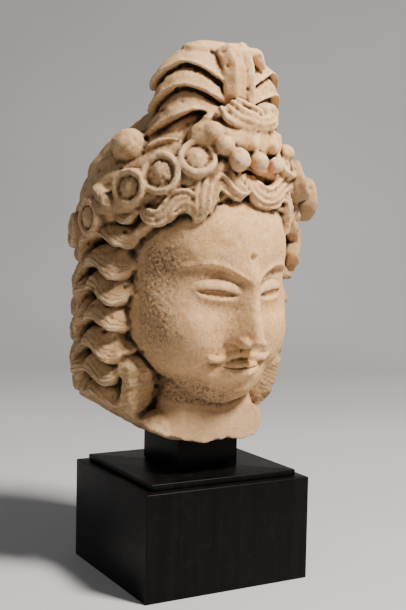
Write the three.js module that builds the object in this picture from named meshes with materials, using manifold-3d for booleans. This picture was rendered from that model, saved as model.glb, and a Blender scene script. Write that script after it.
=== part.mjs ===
// A life-size stucco head of a bodhisattva, broken off at the neck, on a black wooden stand.
//
// Units are millimetres, +Z is up and the head looks towards -Y. The origin is the middle of the
// stand's underside. The stand is a block, a thin raised plate and a square post. The head is one
// piece of stucco: a face, a mass of wavy hair, a band with rosettes and pearls, and a fan-shaped
// topknot in overlapping layers, tied down the middle.
//
// The head is modelled upright in its own frame, with the eyes a little above the middle, and is
// then bowed, turned and lifted into place. Round the hair a place is an angle (0 in front, positive
// to +X) and a height, so that everything on the hair follows when the hair's size changes.
import * as THREE from 'three';
import Module from 'manifold-3d';
import { mergeVertices } from 'three/addons/utils/BufferGeometryUtils.js';

// The stand
const BLOCK_WIDTH = 175;
const BLOCK_DEPTH = 166;
const BLOCK_HEIGHT = 100;
const PLATE_INSET = 9.5;
const PLATE_THICKNESS = 6;
const POST_WIDTH = 65;
const POST_DEPTH = 76;
const POST_HEIGHT = 31;
const TOUCH_GAP = 0.3;

// The head's place on the stand
const HEAD_BOW = 8;
const HEAD_TURN = 6;
const HEAD_CENTRE_ABOVE_SEAT = 147;
const HEAD_CENTRE_BACK = 6;

// The mass of hair, as half sizes round the head's own centre
const HAIR_HALF_WIDTH = 107;
const HAIR_FRONT_DEPTH = 100;
const HAIR_BACK_DEPTH = 112;
const HAIR_MIDDLE_BACK = 8;
const HAIR_WIDEST_Z = 10;
const HAIR_RISE = 168;
const HAIR_DROP = 190;
const HAIR_RISE_FULLNESS = 2.2;
const HAIR_DROP_FULLNESS = 3.2;
const HAIR_BELOW_SEAT = 30;

// The face, in thirds: hairline to brow, brow to nose base, nose base to chin
const FACE_THIRD = 65;
const BROW_Z = 25;
const EYE_BELOW_BROW = 15;
const EYE_APART = 31;
const EYE_HALF_WIDTH = 16;
const MOUTH_HALF_WIDTH = 23;
const MOUSTACHE_HALF_WIDTH = 35;
const NOSE_LENGTH_FORWARD = 21;

// The neck, and how far its middle lies in front of the head's own centre
const NECK_HALF_WIDTH = 64;
const NECK_HALF_DEPTH = 52;
const NECK_FORWARD = 20;
const NECK_FULLNESS = 2.6;

// The edge of the hair round the face
const WINDOW_ANGLE = 70;
const WINDOW_JAW_CLOSING = 20;
const WINDOW_DEPTH = 34;

// The locks
const SIDE_LOCKS = 7;
const SIDE_LOCK_TOP_Z = 67;
const SIDE_LOCK_PITCH = 25.5;
const SIDE_LOCK_HALF_WIDTH = 11;
const SIDE_LOCK_THICKNESS = 9;
const SIDE_LOCK_ROOT = 12;
const SIDE_LOCK_START = 62;
const SIDE_LOCK_REACH = 72;
const SIDE_WAVE = 7;
const SIDE_WAVE_ANGLE = 41;
const FOREHEAD_LOCK_LIFT = 5;
const FOREHEAD_LOCK_ROOT = 14;
const BACK_WAVE = 5;
const CROWN_SWELL = 9;
const CROWN_SWELL_TOP_Z = 150;

// The hair that swells out under the jaw on both sides
const JAW_HAIR_HALF_WIDTH = 28;
const JAW_HAIR_HALF_DEPTH = 30;
const JAW_HAIR_HALF_HEIGHT = 34;
const JAW_HAIR_APART = 68;
const JAW_HAIR_FORWARD = 36;
const JAW_HAIR_BELOW_CHIN = 7;

// The band, its rosettes, buds and pearls
const BAND_HALF_WIDTH = 13;
const BAND_THICKNESS = 9;
const ROSETTE_RADIUS = 19;
const ROSETTE_THICKNESS = 15;
const ROSETTE_RIM = 4.5;
const PEARL_RADIUS = 8.8;
const BUD_RADIUS = 17;
const PEARL_MOUND_HALF_WIDTH = 46;
const PEARL_MOUND_HALF_DEPTH = 30;
const PEARL_MOUND_HALF_HEIGHT = 28;
const PEARL_MOUND_FORWARD = 50;
const PEARL_MOUND_Z = 138;

// The topknot
const KNOT_HALF_WIDTH = 68;
const KNOT_HALF_DEPTH = 34;
const KNOT_CENTRE_Y = -13;
const KNOT_TOP_Z = 228;
const KNOT_DOME_HEIGHT = 46;
const LAYERS = 3;
const LAYER_TOP_HEIGHT = 18;
const LAYER_HEIGHT = 21;
const LAYER_STEP = 8;
const LAYER_CREST_ANGLE = 55;
const LAYER_CREST_SHIFT = 5;
const LAYER_FALL = 0.5;
const KNOT_LUMP_HALF_WIDTH = 30;
const KNOT_LUMP_HALF_DEPTH = 20;
const KNOT_LUMP_HALF_HEIGHT = 10;
const KNOT_LUMP_ASIDE = 12;
const KNOT_LUMP_SUNK = 4;
const STRAP_WIDTH = 27;
const STRAP_THICKNESS = 7;
const CROSS_BAR_HALF_WIDTH = 7;
const CORD_HALF_WIDTH = 7;
const CORD_THICKNESS = 9;

// The break at the neck: a flat round the post, a low edge in front, and a rising rim elsewhere
const BREAK_MARGIN = 6;
const BREAK_FRONT_RISE = 2;
const BREAK_SLOPE = 0.62;

const wasm = await Module();
wasm.setup();

const NOSE_BASE_Z = BROW_Z - FACE_THIRD;
const CHIN_Z = NOSE_BASE_Z - FACE_THIRD;
const MOUTH_Z = NOSE_BASE_Z - FACE_THIRD / 3;
const EYE_Z = BROW_Z - EYE_BELOW_BROW;
const HAIRLINE_Z = BROW_Z + FACE_THIRD;

const rad = THREE.MathUtils.degToRad;
const clamp = THREE.MathUtils.clamp;
const smooth = THREE.MathUtils.smoothstep;
const lerp = THREE.MathUtils.lerp;
const vector = (x, y, z) => new THREE.Vector3(x, y, z);

// A closed three.js geometry as a solid, and back
function solid(geometry) {
  const bare = geometry.index ? geometry.toNonIndexed() : geometry.clone();
  bare.deleteAttribute('normal');
  bare.deleteAttribute('uv');
  const merged = mergeVertices(bare, 1e-3);
  const vertProperties = new Float32Array(merged.attributes.position.array);
  const index = merged.index.array;
  const kept = [];
  for (let i = 0; i < index.length; i += 3) {
    const [a, b, c] = [index[i], index[i + 1], index[i + 2]];
    if (a !== b && b !== c && c !== a) kept.push(a, b, c);
  }
  const made = new wasm.Manifold(
    new wasm.Mesh({ numProp: 3, vertProperties, triVerts: new Uint32Array(kept) }),
  );
  if (made.volume() <= 0) throw new Error('a shape is inside out');
  return made;
}

function geometryOf(made) {
  const mesh = made.getMesh();
  const geometry = new THREE.BufferGeometry();
  geometry.setAttribute('position', new THREE.BufferAttribute(mesh.vertProperties, 3));
  geometry.setIndex(new THREE.BufferAttribute(mesh.triVerts, 1));
  geometry.computeVertexNormals();
  return geometry;
}

// A sphere whose every point is sent to a new place by a function of its angle round Z
// (0 at -Y, in degrees) and of its share of the way down from the top pole
function shapedBall(columns, rows, place) {
  const geometry = new THREE.SphereGeometry(1, columns, rows);
  const position = geometry.attributes.position;
  for (let i = 0; i < position.count; i += 1) {
    const column = i % (columns + 1);
    const row = Math.floor(i / (columns + 1));
    const angle = -180 + (360 * (column % columns)) / columns;
    const point = place(angle, row / rows);
    position.setXYZ(i, point.x, point.y, point.z);
  }
  return solid(geometry);
}

// A closed bar along a smooth curve through some points. The section is a function of the share of
// the length and of the angle round the bar, and gives the distances sideways and outwards.
function bar(points, outward, sides, steps, section) {
  const curve = new THREE.CatmullRomCurve3(points, false, 'catmullrom', 0.5);
  const geometry = new THREE.CylinderGeometry(1, 1, 1, sides, steps);
  const position = geometry.attributes.position;
  const frames = [];
  for (let i = 0; i <= steps; i += 1) {
    const middle = curve.getPoint(i / steps);
    const along = curve.getTangent(i / steps);
    const side = vector(0, 0, 0).crossVectors(along, outward(middle)).normalize();
    frames.push({ middle, side, out: vector(0, 0, 0).crossVectors(side, along).normalize() });
  }
  for (let i = 0; i < position.count; i += 1) {
    const v = vector(0, 0, 0).fromBufferAttribute(position, i);
    const step = Math.round((0.5 - v.y) * steps);
    const frame = frames[step];
    const radius = Math.hypot(v.x, v.z);
    const [wide, high] = section(step / steps, Math.atan2(v.z, v.x));
    const place = frame.middle.clone().addScaledVector(frame.side, -wide * radius);
    place.addScaledVector(frame.out, high * radius);
    position.setXYZ(i, place.x, place.y, place.z);
  }
  return solid(geometry);
}

// A section that is rounded outside, deeper inside so that it is rooted in what carries it, and
// narrower towards both ends
function rounded(halfWidth, height, depth, root = 0.45, tip = 0.35) {
  return (t, turn) => {
    const rise = root + (1 - root) * smooth(t, 0, 0.2);
    const ends = rise * (tip + (1 - tip) * (1 - smooth(t, 0.75, 1)));
    const up = Math.sin(turn);
    return [Math.cos(turn) * halfWidth * ends, up * ends * (up > 0 ? height : depth)];
  };
}

// The hair's outer surface

function hairScale(z) {
  const above = z > HAIR_WIDEST_Z;
  const share = Math.abs(z - HAIR_WIDEST_Z) / (above ? HAIR_RISE : HAIR_DROP);
  const fullness = above ? HAIR_RISE_FULLNESS : HAIR_DROP_FULLNESS;
  return (1 - clamp(share, 0, 0.995) ** fullness) ** (1 / fullness);
}

function onHair(angle, z, lift = 0) {
  const scale = hairScale(z);
  const depth = Math.cos(rad(angle)) > 0 ? HAIR_FRONT_DEPTH : HAIR_BACK_DEPTH;
  return vector(
    (HAIR_HALF_WIDTH * scale + lift) * Math.sin(rad(angle)),
    HAIR_MIDDLE_BACK - (depth * scale + lift) * Math.cos(rad(angle)),
    z,
  );
}

function hairOutward(point) {
  const lean = 1.6 * smooth(point.z, HAIRLINE_Z - 10, HAIR_WIDEST_Z + HAIR_RISE);
  const away = vector(point.x, point.y - HAIR_MIDDLE_BACK, 0).normalize();
  return away.setZ(lean).normalize();
}

// By how much the hair closes in under the jaw
const jawClosing = (z) => WINDOW_JAW_CLOSING * (1 - smooth(z, CHIN_Z, CHIN_Z + 60));

// Half the angle that the hair leaves free for the face, by height
function windowEdge(z) {
  return (WINDOW_ANGLE - jawClosing(z)) * Math.sqrt(1 - smooth(z, BROW_Z, HAIRLINE_Z + 4));
}

// The hair swells over the band and, down the back, falls in broad upright waves
function hairMass() {
  const top = HAIR_WIDEST_Z + HAIR_RISE - 5;
  const bottom = -HEAD_CENTRE_ABOVE_SEAT - HAIR_BELOW_SEAT;
  const columns = 24;
  return shapedBall(columns, 12, (angle, share) => {
    const z = lerp(top, bottom, share);
    if (share === 0 || share === 1) return vector(0, HAIR_MIDDLE_BACK, z);
    const away = Math.abs(angle);
    const aboveBand = z - bandZ(angle);
    const outside = smooth(away, windowEdge(z), windowEdge(z) + 12);
    const belowKnot = 1 - smooth(z, CROWN_SWELL_TOP_Z - 40, CROWN_SWELL_TOP_Z);
    const swell = CROWN_SWELL * smooth(aboveBand, 0, 20) * belowKnot * smooth(away, 70, 95);
    const behind = aboveBand < 0 ? smooth(away, 120, 140) : 0;
    const wave = BACK_WAVE * behind * Math.cos(rad((angle * columns) / 2));
    return onHair(angle, z, swell + wave - WINDOW_DEPTH * (1 - outside));
  });
}

// The face and skull: the blended hull of a few egg shapes, with the features raised on it

const EGGS = [
  { centre: [0, 8, 26], half: [90, 100, 92] },
  { centre: [0, -24, 46], half: [74, 71, 72] },
  { centre: [0, -26, -20], half: [86, 70, 74] },
  { centre: [32, -48, -40], half: [40, 42, 42] },
  { centre: [-32, -48, -40], half: [40, 42, 42] },
  { centre: [0, -57, CHIN_Z + 32], half: [44, 39, 32] },
];
const EGG_BLEND = 20;

// How far an egg's surface lies from the head's centre in a direction, or 0 where it is missed
function eggReach(direction, egg) {
  let a = 0;
  let b = 0;
  let c = -1;
  for (let k = 0; k < 3; k += 1) {
    const d = direction[k] / egg.half[k];
    const o = -egg.centre[k] / egg.half[k];
    a += d * d;
    b += 2 * d * o;
    c += o * o;
  }
  const inside = b * b - 4 * a * c;
  return inside < 0 ? 0 : Math.max(0, (-b + Math.sqrt(inside)) / (2 * a));
}

// How far the nose stands forward of the smooth face, and how far the eye sockets lie back
function features(x, z) {
  const side = Math.abs(x);
  const down = clamp((BROW_Z + 6 - z) / (BROW_Z - NOSE_BASE_Z), 0, 1);
  const fade = smooth(z, NOSE_BASE_Z - 3, NOSE_BASE_Z + 6) * (1 - smooth(z, BROW_Z - 4, BROW_Z + 14));
  const ridge = (4 + NOSE_LENGTH_FORWARD * down ** 1.2) * Math.exp(-((side / (8 + 6 * down)) ** 2.4));
  const wings = 9 * Math.exp(-(((side - 13) / 5) ** 2) - ((z - NOSE_BASE_Z - 6) / 7) ** 2);
  const across = Math.exp(-(((side - EYE_APART) / 24) ** 2));
  const socket = 7 * across * (1 - smooth(z, BROW_Z - 3, BROW_Z + 4)) * smooth(z, EYE_Z - 28, EYE_Z - 6);
  return ridge * fade + wings - socket;
}

function facePoint(angle, elevation) {
  const direction = [
    Math.sin(rad(angle)) * Math.cos(rad(elevation)),
    -Math.cos(rad(angle)) * Math.cos(rad(elevation)),
    Math.sin(rad(elevation)),
  ];
  const sum = EGGS.reduce((total, egg) => total + eggReach(direction, egg) ** EGG_BLEND, 0);
  const place = vector(...direction).multiplyScalar(sum ** (1 / EGG_BLEND));
  place.y -= smooth(-place.y, 20, 60) * features(place.x, place.z);
  return place;
}

// The columns and rows stand closest together over the face
function faceAndSkull() {
  return shapedBall(26, 20, (angle, share) => {
    if (share === 0 || share === 1) return facePoint(0, share === 0 ? 90 : -90);
    const gathered = angle - 35 * Math.sin(rad(angle));
    const elevation = 90 - 180 * share + 10 * Math.sin(2 * Math.PI * share);
    return facePoint(gathered, clamp(elevation, -89, 89));
  });
}

// The point of the face at a distance from its middle and a height
function onFace(x, z, lift) {
  let angle = x;
  let elevation = z;
  for (let i = 0; i < 8; i += 1) {
    const place = facePoint(angle, elevation);
    const reach = Math.hypot(place.x, place.y);
    angle += THREE.MathUtils.radToDeg((x - place.x) / reach);
    elevation += THREE.MathUtils.radToDeg((z - place.z) / reach);
  }
  const found = facePoint(angle, elevation);
  return found.add(vector(x / 90, -1, 0).normalize().multiplyScalar(lift));
}

const faceOutward = (point) => vector(point.x / 90, -1, 0).normalize();

// Brows, lids, lips and moustache are low ridges on the face
function faceRidge(places, halfWidth, height, lift, steps) {
  const points = places.map(([x, z]) => onFace(x, z, lift));
  return bar(points, faceOutward, 4, steps, rounded(halfWidth, height, 7, 0.3, 0.3));
}

function faceRidges() {
  const made = [];
  for (const side of [-1, 1]) {
    const brow = [];
    const upperLid = [];
    for (let i = 0; i <= 4; i += 1) {
      const t = i / 4;
      const arch = Math.sin(Math.PI * t);
      const eyeX = side * (EYE_APART - EYE_HALF_WIDTH + 2 * EYE_HALF_WIDTH * t);
      brow.push([side * lerp(7, 62, t), BROW_Z - 6 + 13 * Math.sin(Math.PI * t * 0.85)]);
      upperLid.push([eyeX, EYE_Z - 2 + 5 * arch]);
    }
    const wing = [
      [2, MOUTH_Z + 11], [MOUSTACHE_HALF_WIDTH * 0.45, MOUTH_Z + 9],
      [MOUSTACHE_HALF_WIDTH * 0.8, MOUTH_Z + 6], [MOUSTACHE_HALF_WIDTH, MOUTH_Z + 12],
    ];
    made.push(faceRidge(brow, 4, 3.5, 0, 4));
    made.push(faceRidge(upperLid, 5.5, 6, 0, 4));
    made.push(faceRidge(wing.map(([x, z]) => [side * x, z]), 3.6, 5, 0, 5));
  }
  for (const [rise, height] of [[3, 5], [-5, 6]]) {
    const lip = [-1, -0.5, 0, 0.5, 1].map((t) => [
      MOUTH_HALF_WIDTH * t, MOUTH_Z + rise * (1 - t * t) + (rise > 0 ? 0 : 0.5),
    ]);
    made.push(faceRidge(lip, 4, height, 0, 4));
  }
  return made;
}

// The neck, flaring to the broken edge

function neck() {
  const bottom = -HEAD_CENTRE_ABOVE_SEAT - HAIR_BELOW_SEAT;
  return shapedBall(14, 5, (angle, share) => {
    const z = lerp(NOSE_BASE_Z, bottom, share);
    const middle = Math.tan(rad(HEAD_BOW)) * z - NECK_FORWARD;
    if (share === 0 || share === 1) return vector(0, middle, z);
    const s = Math.sin(rad(angle));
    const c = Math.cos(rad(angle));
    const corner = (Math.abs(s) ** NECK_FULLNESS + Math.abs(c) ** NECK_FULLNESS) ** (-1 / NECK_FULLNESS);
    const flare = corner * lerp(0.76, 1.07, smooth(share, 0.2, 0.8));
    return vector(NECK_HALF_WIDTH * flare * s, middle - NECK_HALF_DEPTH * flare * c, z);
  });
}

// Locks of hair

function hairBar(places, section, steps, sides = 5) {
  const points = places.map(([angle, z, lift]) => onHair(angle, z, lift));
  return bar(points, hairOutward, sides, steps, section);
}

// A side lock starts low behind the cheek, rises over the side and waves on to the back
function sideLock(side, number) {
  const level = SIDE_LOCK_TOP_Z - SIDE_LOCK_PITCH * number;
  const start = SIDE_LOCK_START - jawClosing(level);
  const places = [];
  for (let i = 0; i <= 12; i += 1) {
    const along = (SIDE_LOCK_REACH * i) / 12;
    const wave = -SIDE_WAVE * Math.cos((2 * Math.PI * (along - 3)) / SIDE_WAVE_ANGLE);
    const fall = 0.35 * Math.max(0, along - SIDE_WAVE_ANGLE / 2);
    const lift = lerp(-12, -1, smooth(along, -6, 8));
    places.push([side * (start + along), level + wave - fall, lift]);
  }
  const section = rounded(SIDE_LOCK_HALF_WIDTH, SIDE_LOCK_THICKNESS, SIDE_LOCK_ROOT, 0.8, 0.5);
  return hairBar(places, section, 9, 4);
}

// The locks over the forehead, each as places on the hair, with half width and height
const FOREHEAD_LOCKS = [
  {
    places: [
      [0, 113], [-5, 102], [-10, 110], [-17, 117], [-25, 111], [-28, 100], [-28, 87], [-28, 76], [-33, 70],
    ],
    size: [8, 9.5],
  },
  { places: [[-5, 96], [-10, 98], [-15, 105], [-20, 103], [-22, 93], [-23, 84]], size: [6, 7] },
  { places: [[-28, 110], [-34, 99], [-38, 91], [-43, 82], [-47, 74]], size: [10, 9] },
  { places: [[-30, 82], [-35, 89], [-40, 84], [-43, 75], [-48, 68]], size: [7, 8] },
  { places: [[-45, 90], [-50, 84], [-53, 77], [-53, 68], [-48, 63]], size: [8, 9.5] },
  {
    places: [
      [0, 113], [3, 105], [8, 99], [16, 103], [27, 110], [38, 110], [47, 102], [49, 88], [44, 75], [38, 63],
    ],
    size: [8, 9.5],
  },
  { places: [[0, 106], [2, 97], [7, 92], [14, 96], [22, 97], [28, 88], [30, 75]], size: [6, 7] },
  { places: [[44, 92], [51, 86], [55, 76], [55, 66], [50, 58]], size: [9, 9] },
  { places: [[60, 70], [56, 58], [60, 47], [55, 37], [59, 24]], size: [8, 9] },
];

function foreheadLock({ places, size: [halfWidth, height] }) {
  const lifted = places.map(([angle, z]) => [angle, z, FOREHEAD_LOCK_LIFT]);
  return hairBar(lifted, rounded(halfWidth, height, FOREHEAD_LOCK_ROOT), places.length, 4);
}

// The band round the head, its rosettes and its pearls

function bandZ(angle) {
  const away = Math.abs(angle);
  return 132 - 84 * Math.min(1, away / 105) ** 1.25 - 26 * smooth(away, 105, 180);
}

function band(side) {
  const places = [];
  for (let i = 0; i <= 14; i += 1) {
    const angle = lerp(-2, 182, i / 14);
    places.push([side * angle, bandZ(angle), 1]);
  }
  const section = (t, turn) => [Math.cos(turn) * BAND_HALF_WIDTH, Math.sin(turn) * BAND_THICKNESS];
  return hairBar(places, section, 10, 4);
}

// A geometry whose axis is Y, set on the hair with that axis pointing outwards
function placed(geometry, angle, z, lift) {
  const middle = onHair(angle, z, lift);
  const turn = new THREE.Quaternion().setFromUnitVectors(vector(0, 1, 0), hairOutward(middle));
  geometry.applyQuaternion(turn);
  geometry.translate(middle.x, middle.y, middle.z);
  return solid(geometry);
}

// A disc with a raised rim, a sunk ring and a domed boss
function rosette(angle, z, grow, lift) {
  const r = ROSETTE_RADIUS * grow;
  const inner = r - ROSETTE_RIM;
  const profile = [
    [0, -ROSETTE_THICKNESS], [r, -ROSETTE_THICKNESS], [r, -1], [inner, 0], [inner - 1.5, -5],
    [r * 0.42, -4], [0, 3],
  ];
  const geometry = new THREE.LatheGeometry(profile.map(([x, y]) => new THREE.Vector2(x, y)), 8);
  return placed(geometry, angle, z, lift);
}

// Angle, height, size and lift; the far side's discs stand prouder
const NEAR_ROSETTES = [
  [-33, 129, 0.98, 11], [-51, 111, 1.05, 11], [-67, 94, 1, 11], [-89, 64, 1, 11], [-110, 46, 0.95, 11],
];
const FAR_ROSETTES = [
  [33, 129, 0.98, 11], [50, 113, 1.05, 18], [66, 92, 1.15, 23], [89, 64, 1, 13], [110, 46, 0.95, 11],
];
const BUD_PLACE = [83, 130];
const PEARL_PLACES = [
  [-11, 129, 16], [2, 127, 16], [14, 126, 15], [-18, 141, 16], [1, 143, 18], [15, 142, 17], [30, 138, 10],
  [-24, 151, 15], [-10, 153, 18], [6, 152, 18], [-18, 163, 16], [14, 162, 16],
];

function pearl([angle, z, lift]) {
  return placed(new THREE.IcosahedronGeometry(PEARL_RADIUS * 1.08), angle, z, lift);
}

function bud(side) {
  const [angle, z] = BUD_PLACE;
  return placed(new THREE.SphereGeometry(BUD_RADIUS, 8, 6), side * angle, z, 3);
}

// Plain egg shapes: the mound under the pearls, the lump on top of the topknot, the hair under the jaw

function egg(halfSizes, middle, columns, rows) {
  const geometry = new THREE.SphereGeometry(1, columns, rows);
  geometry.scale(...halfSizes);
  geometry.translate(...middle);
  return solid(geometry);
}

function pearlMound() {
  const halfSizes = [PEARL_MOUND_HALF_WIDTH, PEARL_MOUND_HALF_DEPTH, PEARL_MOUND_HALF_HEIGHT];
  return egg(halfSizes, [0, -PEARL_MOUND_FORWARD, PEARL_MOUND_Z], 10, 6);
}

function knotLump() {
  const halfSizes = [KNOT_LUMP_HALF_WIDTH, KNOT_LUMP_HALF_DEPTH, KNOT_LUMP_HALF_HEIGHT];
  return egg(halfSizes, [-KNOT_LUMP_ASIDE, KNOT_CENTRE_Y, KNOT_TOP_Z - KNOT_LUMP_SUNK], 9, 6);
}

function jawHair(side) {
  const halfSizes = [JAW_HAIR_HALF_WIDTH, JAW_HAIR_HALF_DEPTH, JAW_HAIR_HALF_HEIGHT];
  return egg(halfSizes, [side * JAW_HAIR_APART, -JAW_HAIR_FORWARD, CHIN_Z - JAW_HAIR_BELOW_CHIN], 8, 5);
}

// The topknot: layers that overlap downwards, each arched on both sides of the tie

const KNOT_SHOULDER_Z = KNOT_TOP_Z - KNOT_DOME_HEIGHT;
const KNOT_BASE_Z = KNOT_TOP_Z - LAYER_TOP_HEIGHT - LAYER_HEIGHT * (LAYERS + 1);

function knotPoint(angle, z, out) {
  const share = clamp((z - KNOT_SHOULDER_Z) / KNOT_DOME_HEIGHT, 0, 0.98);
  const scale = (1 - share ** 2.8) ** (1 / 2.8);
  return vector(
    (KNOT_HALF_WIDTH * scale + out) * Math.sin(rad(angle)),
    KNOT_CENTRE_Y - (KNOT_HALF_DEPTH * scale + out) * Math.cos(rad(angle)),
    z,
  );
}

// The lower edge of each layer rises from the tie to a crest and falls again to the far end of the
// fan. The lower the layer, the nearer its crest lies to the tie.
function layerEdge(angle, layer) {
  const away = Math.abs(angle) - (LAYER_CREST_ANGLE - LAYER_CREST_SHIFT * layer ** 2);
  const towardsTie = 0.009 * away ** 2;
  const towardsEnd = LAYER_FALL * (Math.hypot(Math.min(away, 60), 6) - 6);
  return KNOT_TOP_Z - LAYER_TOP_HEIGHT - LAYER_HEIGHT * layer - (away < 0 ? towardsTie : towardsEnd);
}

function topknot() {
  const rows = 2 * LAYERS + 2;
  return shapedBall(20, rows, (angle, share) => {
    const row = Math.round(share * rows);
    if (row === 0) return vector(0, KNOT_CENTRE_Y, KNOT_TOP_Z);
    if (row === rows) return vector(0, KNOT_CENTRE_Y, KNOT_BASE_Z);
    if (row === 1) return knotPoint(angle, KNOT_TOP_Z - 2, 0);
    const layer = Math.floor(row / 2) - 1;
    const edge = layerEdge(angle, layer);
    const lowerEdge = row % 2 === 0;
    return knotPoint(angle, lowerEdge ? edge : edge - 3, lowerEdge ? LAYER_STEP / 2 : -LAYER_STEP / 2);
  });
}

const knotOutward = (point) => vector(point.x * 0.012, -1, (point.z - KNOT_SHOULDER_Z) / 90).normalize();

function knotBar(points, section, steps) {
  return bar(points, knotOutward, 6, steps, section);
}

// The strap down the middle, its cross bar and the twisted cord at its foot, as places to the side,
// in front of the topknot and below its top
function tie() {
  const front = KNOT_CENTRE_Y - KNOT_HALF_DEPTH;
  const strap = [[0, 6, 58], [0, 6, 40], [0, 4, 24], [0, -4, 9]];
  const cross = [[-14, -3, 8], [8, -1, 6], [30, -3, 12]];
  const cord = [[-26, 13, 52], [-14, 21, 64], [2, 27, 71], [18, 24, 70], [30, 15, 62]];
  const strand = [[-14, 13, 47], [0, 20, 55], [14, 23, 60], [27, 16, 58]];
  const onKnot = (places) => places.map(([x, out, down]) => vector(x, front - out, KNOT_TOP_Z - down));
  const flat = (t, turn) => [Math.cos(turn) * (STRAP_WIDTH / 2), Math.sin(turn) * STRAP_THICKNESS];
  const round = rounded(CORD_HALF_WIDTH, CORD_THICKNESS, CORD_THICKNESS, 0.7, 0.7);
  const thinner = rounded(CORD_HALF_WIDTH - 1, CORD_THICKNESS - 1, CORD_THICKNESS - 1, 0.7, 0.7);
  return [
    knotBar(onKnot(strap), flat, 4),
    knotBar(onKnot(cross), rounded(CROSS_BAR_HALF_WIDTH, 6, 8), 4),
    knotBar(onKnot(cord), round, 7),
    knotBar(onKnot(strand), thinner, 5),
  ];
}

// The head in place

const SEAT_Z = BLOCK_HEIGHT + PLATE_THICKNESS + POST_HEIGHT + 3 * TOUCH_GAP;

function posed(made) {
  const pose = new THREE.Matrix4()
    .makeTranslation(0, HEAD_CENTRE_BACK, SEAT_Z + HEAD_CENTRE_ABOVE_SEAT)
    .multiply(new THREE.Matrix4().makeRotationZ(rad(HEAD_TURN)))
    .multiply(new THREE.Matrix4().makeRotationX(rad(HEAD_BOW)));
  return made.transform(pose.elements);
}

// What the break took away: all that lies under the post's flat, the edge in front and the rim
function broken() {
  const halfWidth = POST_WIDTH / 2 + BREAK_MARGIN;
  const halfDepth = POST_DEPTH / 2 + BREAK_MARGIN;
  const rings = [0, 1, 1.05, 4, 4, 0];
  return shapedBall(16, rings.length - 1, (angle, share) => {
    const row = Math.round(share * (rings.length - 1));
    const s = Math.sin(rad(angle));
    const c = Math.cos(rad(angle));
    const out = rings[row] * (s ** 8 + c ** 8) ** -0.125;
    const rim = BREAK_SLOPE * halfWidth * Math.max(0, rings[row] - 1.05);
    const front = row < 2 ? 0 : BREAK_FRONT_RISE;
    const top = SEAT_Z + lerp(rim, front, smooth(c, 0.5, 0.9));
    return vector(halfWidth * out * s, -halfDepth * out * c, row > 3 ? 0 : top);
  });
}

// Without the small sealed hollows that crossing locks leave between them
function filled(made) {
  const shells = made.decompose().filter((shell) => shell.volume() > 0);
  return shells.reduce((total, shell) => total.add(shell));
}

function head() {
  const pieces = [
    faceAndSkull(),
    ...faceRidges(),
    hairMass(),
    neck(),
    pearlMound(),
    topknot(),
    knotLump(),
    ...tie(),
    ...FOREHEAD_LOCKS.map(foreheadLock),
    ...PEARL_PLACES.map(pearl),
    ...[...NEAR_ROSETTES, ...FAR_ROSETTES].map((place) => rosette(...place)),
  ];
  for (const side of [-1, 1]) {
    pieces.push(band(side), bud(side), jawHair(side));
    for (let k = 0; k < SIDE_LOCKS; k += 1) pieces.push(sideLock(side, k));
  }
  const whole = pieces.reduce((total, piece) => total.add(piece));
  return filled(posed(whole).subtract(broken()));
}

// The colours and the parts

const stucco = new THREE.MeshStandardMaterial({ color: 0xc9a985, roughness: 0.85, metalness: 0 });
const blackWood = new THREE.MeshStandardMaterial({ color: 0x14110f, roughness: 0.45, metalness: 0 });

function named(name, geometry, material, z) {
  const mesh = new THREE.Mesh(geometry, material);
  mesh.name = name;
  mesh.position.z = z;
  return mesh;
}

const block = new THREE.BoxGeometry(BLOCK_WIDTH, BLOCK_DEPTH, BLOCK_HEIGHT);
const plate = new THREE.BoxGeometry(
  BLOCK_WIDTH - 2 * PLATE_INSET,
  BLOCK_DEPTH - 2 * PLATE_INSET,
  PLATE_THICKNESS,
);
const post = new THREE.BoxGeometry(POST_WIDTH, POST_DEPTH, POST_HEIGHT);
const plateBase = BLOCK_HEIGHT + TOUCH_GAP;
const postBase = plateBase + PLATE_THICKNESS + TOUCH_GAP;

const group = new THREE.Group();
group.add(named('stand_block', block, blackWood, BLOCK_HEIGHT / 2));
group.add(named('stand_plate', plate, blackWood, plateBase + PLATE_THICKNESS / 2));
group.add(named('stand_post', post, blackWood, postBase + POST_HEIGHT / 2));
group.add(named('head', geometryOf(head()), stucco, 0));

export default group;
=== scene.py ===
"""A life-size stucco head of a bodhisattva, broken off at the neck, on a black wooden stand.

Shapes are worked out in millimetres in the head's own frame: +Z up, the face towards -Y, the eyes a
little above the middle. The head is then bowed, turned and lifted onto the post of its stand. Round
the hair a place is an angle (0 in front, positive to +X) and a height.
"""

import bpy
import numpy as np
from mathutils import Matrix, Quaternion, Vector


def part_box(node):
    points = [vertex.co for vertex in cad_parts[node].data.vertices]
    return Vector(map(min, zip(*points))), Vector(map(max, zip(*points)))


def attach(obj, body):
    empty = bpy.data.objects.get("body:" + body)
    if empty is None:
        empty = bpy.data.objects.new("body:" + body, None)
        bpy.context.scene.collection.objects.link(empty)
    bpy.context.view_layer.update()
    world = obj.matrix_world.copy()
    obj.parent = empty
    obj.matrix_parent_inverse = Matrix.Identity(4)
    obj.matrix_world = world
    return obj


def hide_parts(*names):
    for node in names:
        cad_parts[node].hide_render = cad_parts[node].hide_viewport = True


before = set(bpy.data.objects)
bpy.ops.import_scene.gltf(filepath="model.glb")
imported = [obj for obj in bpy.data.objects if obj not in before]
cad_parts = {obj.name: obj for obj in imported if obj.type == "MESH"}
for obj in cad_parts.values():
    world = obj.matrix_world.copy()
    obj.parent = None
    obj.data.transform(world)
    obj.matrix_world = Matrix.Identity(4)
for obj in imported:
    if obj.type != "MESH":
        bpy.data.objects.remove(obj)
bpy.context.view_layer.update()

MM = 0.001

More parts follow.
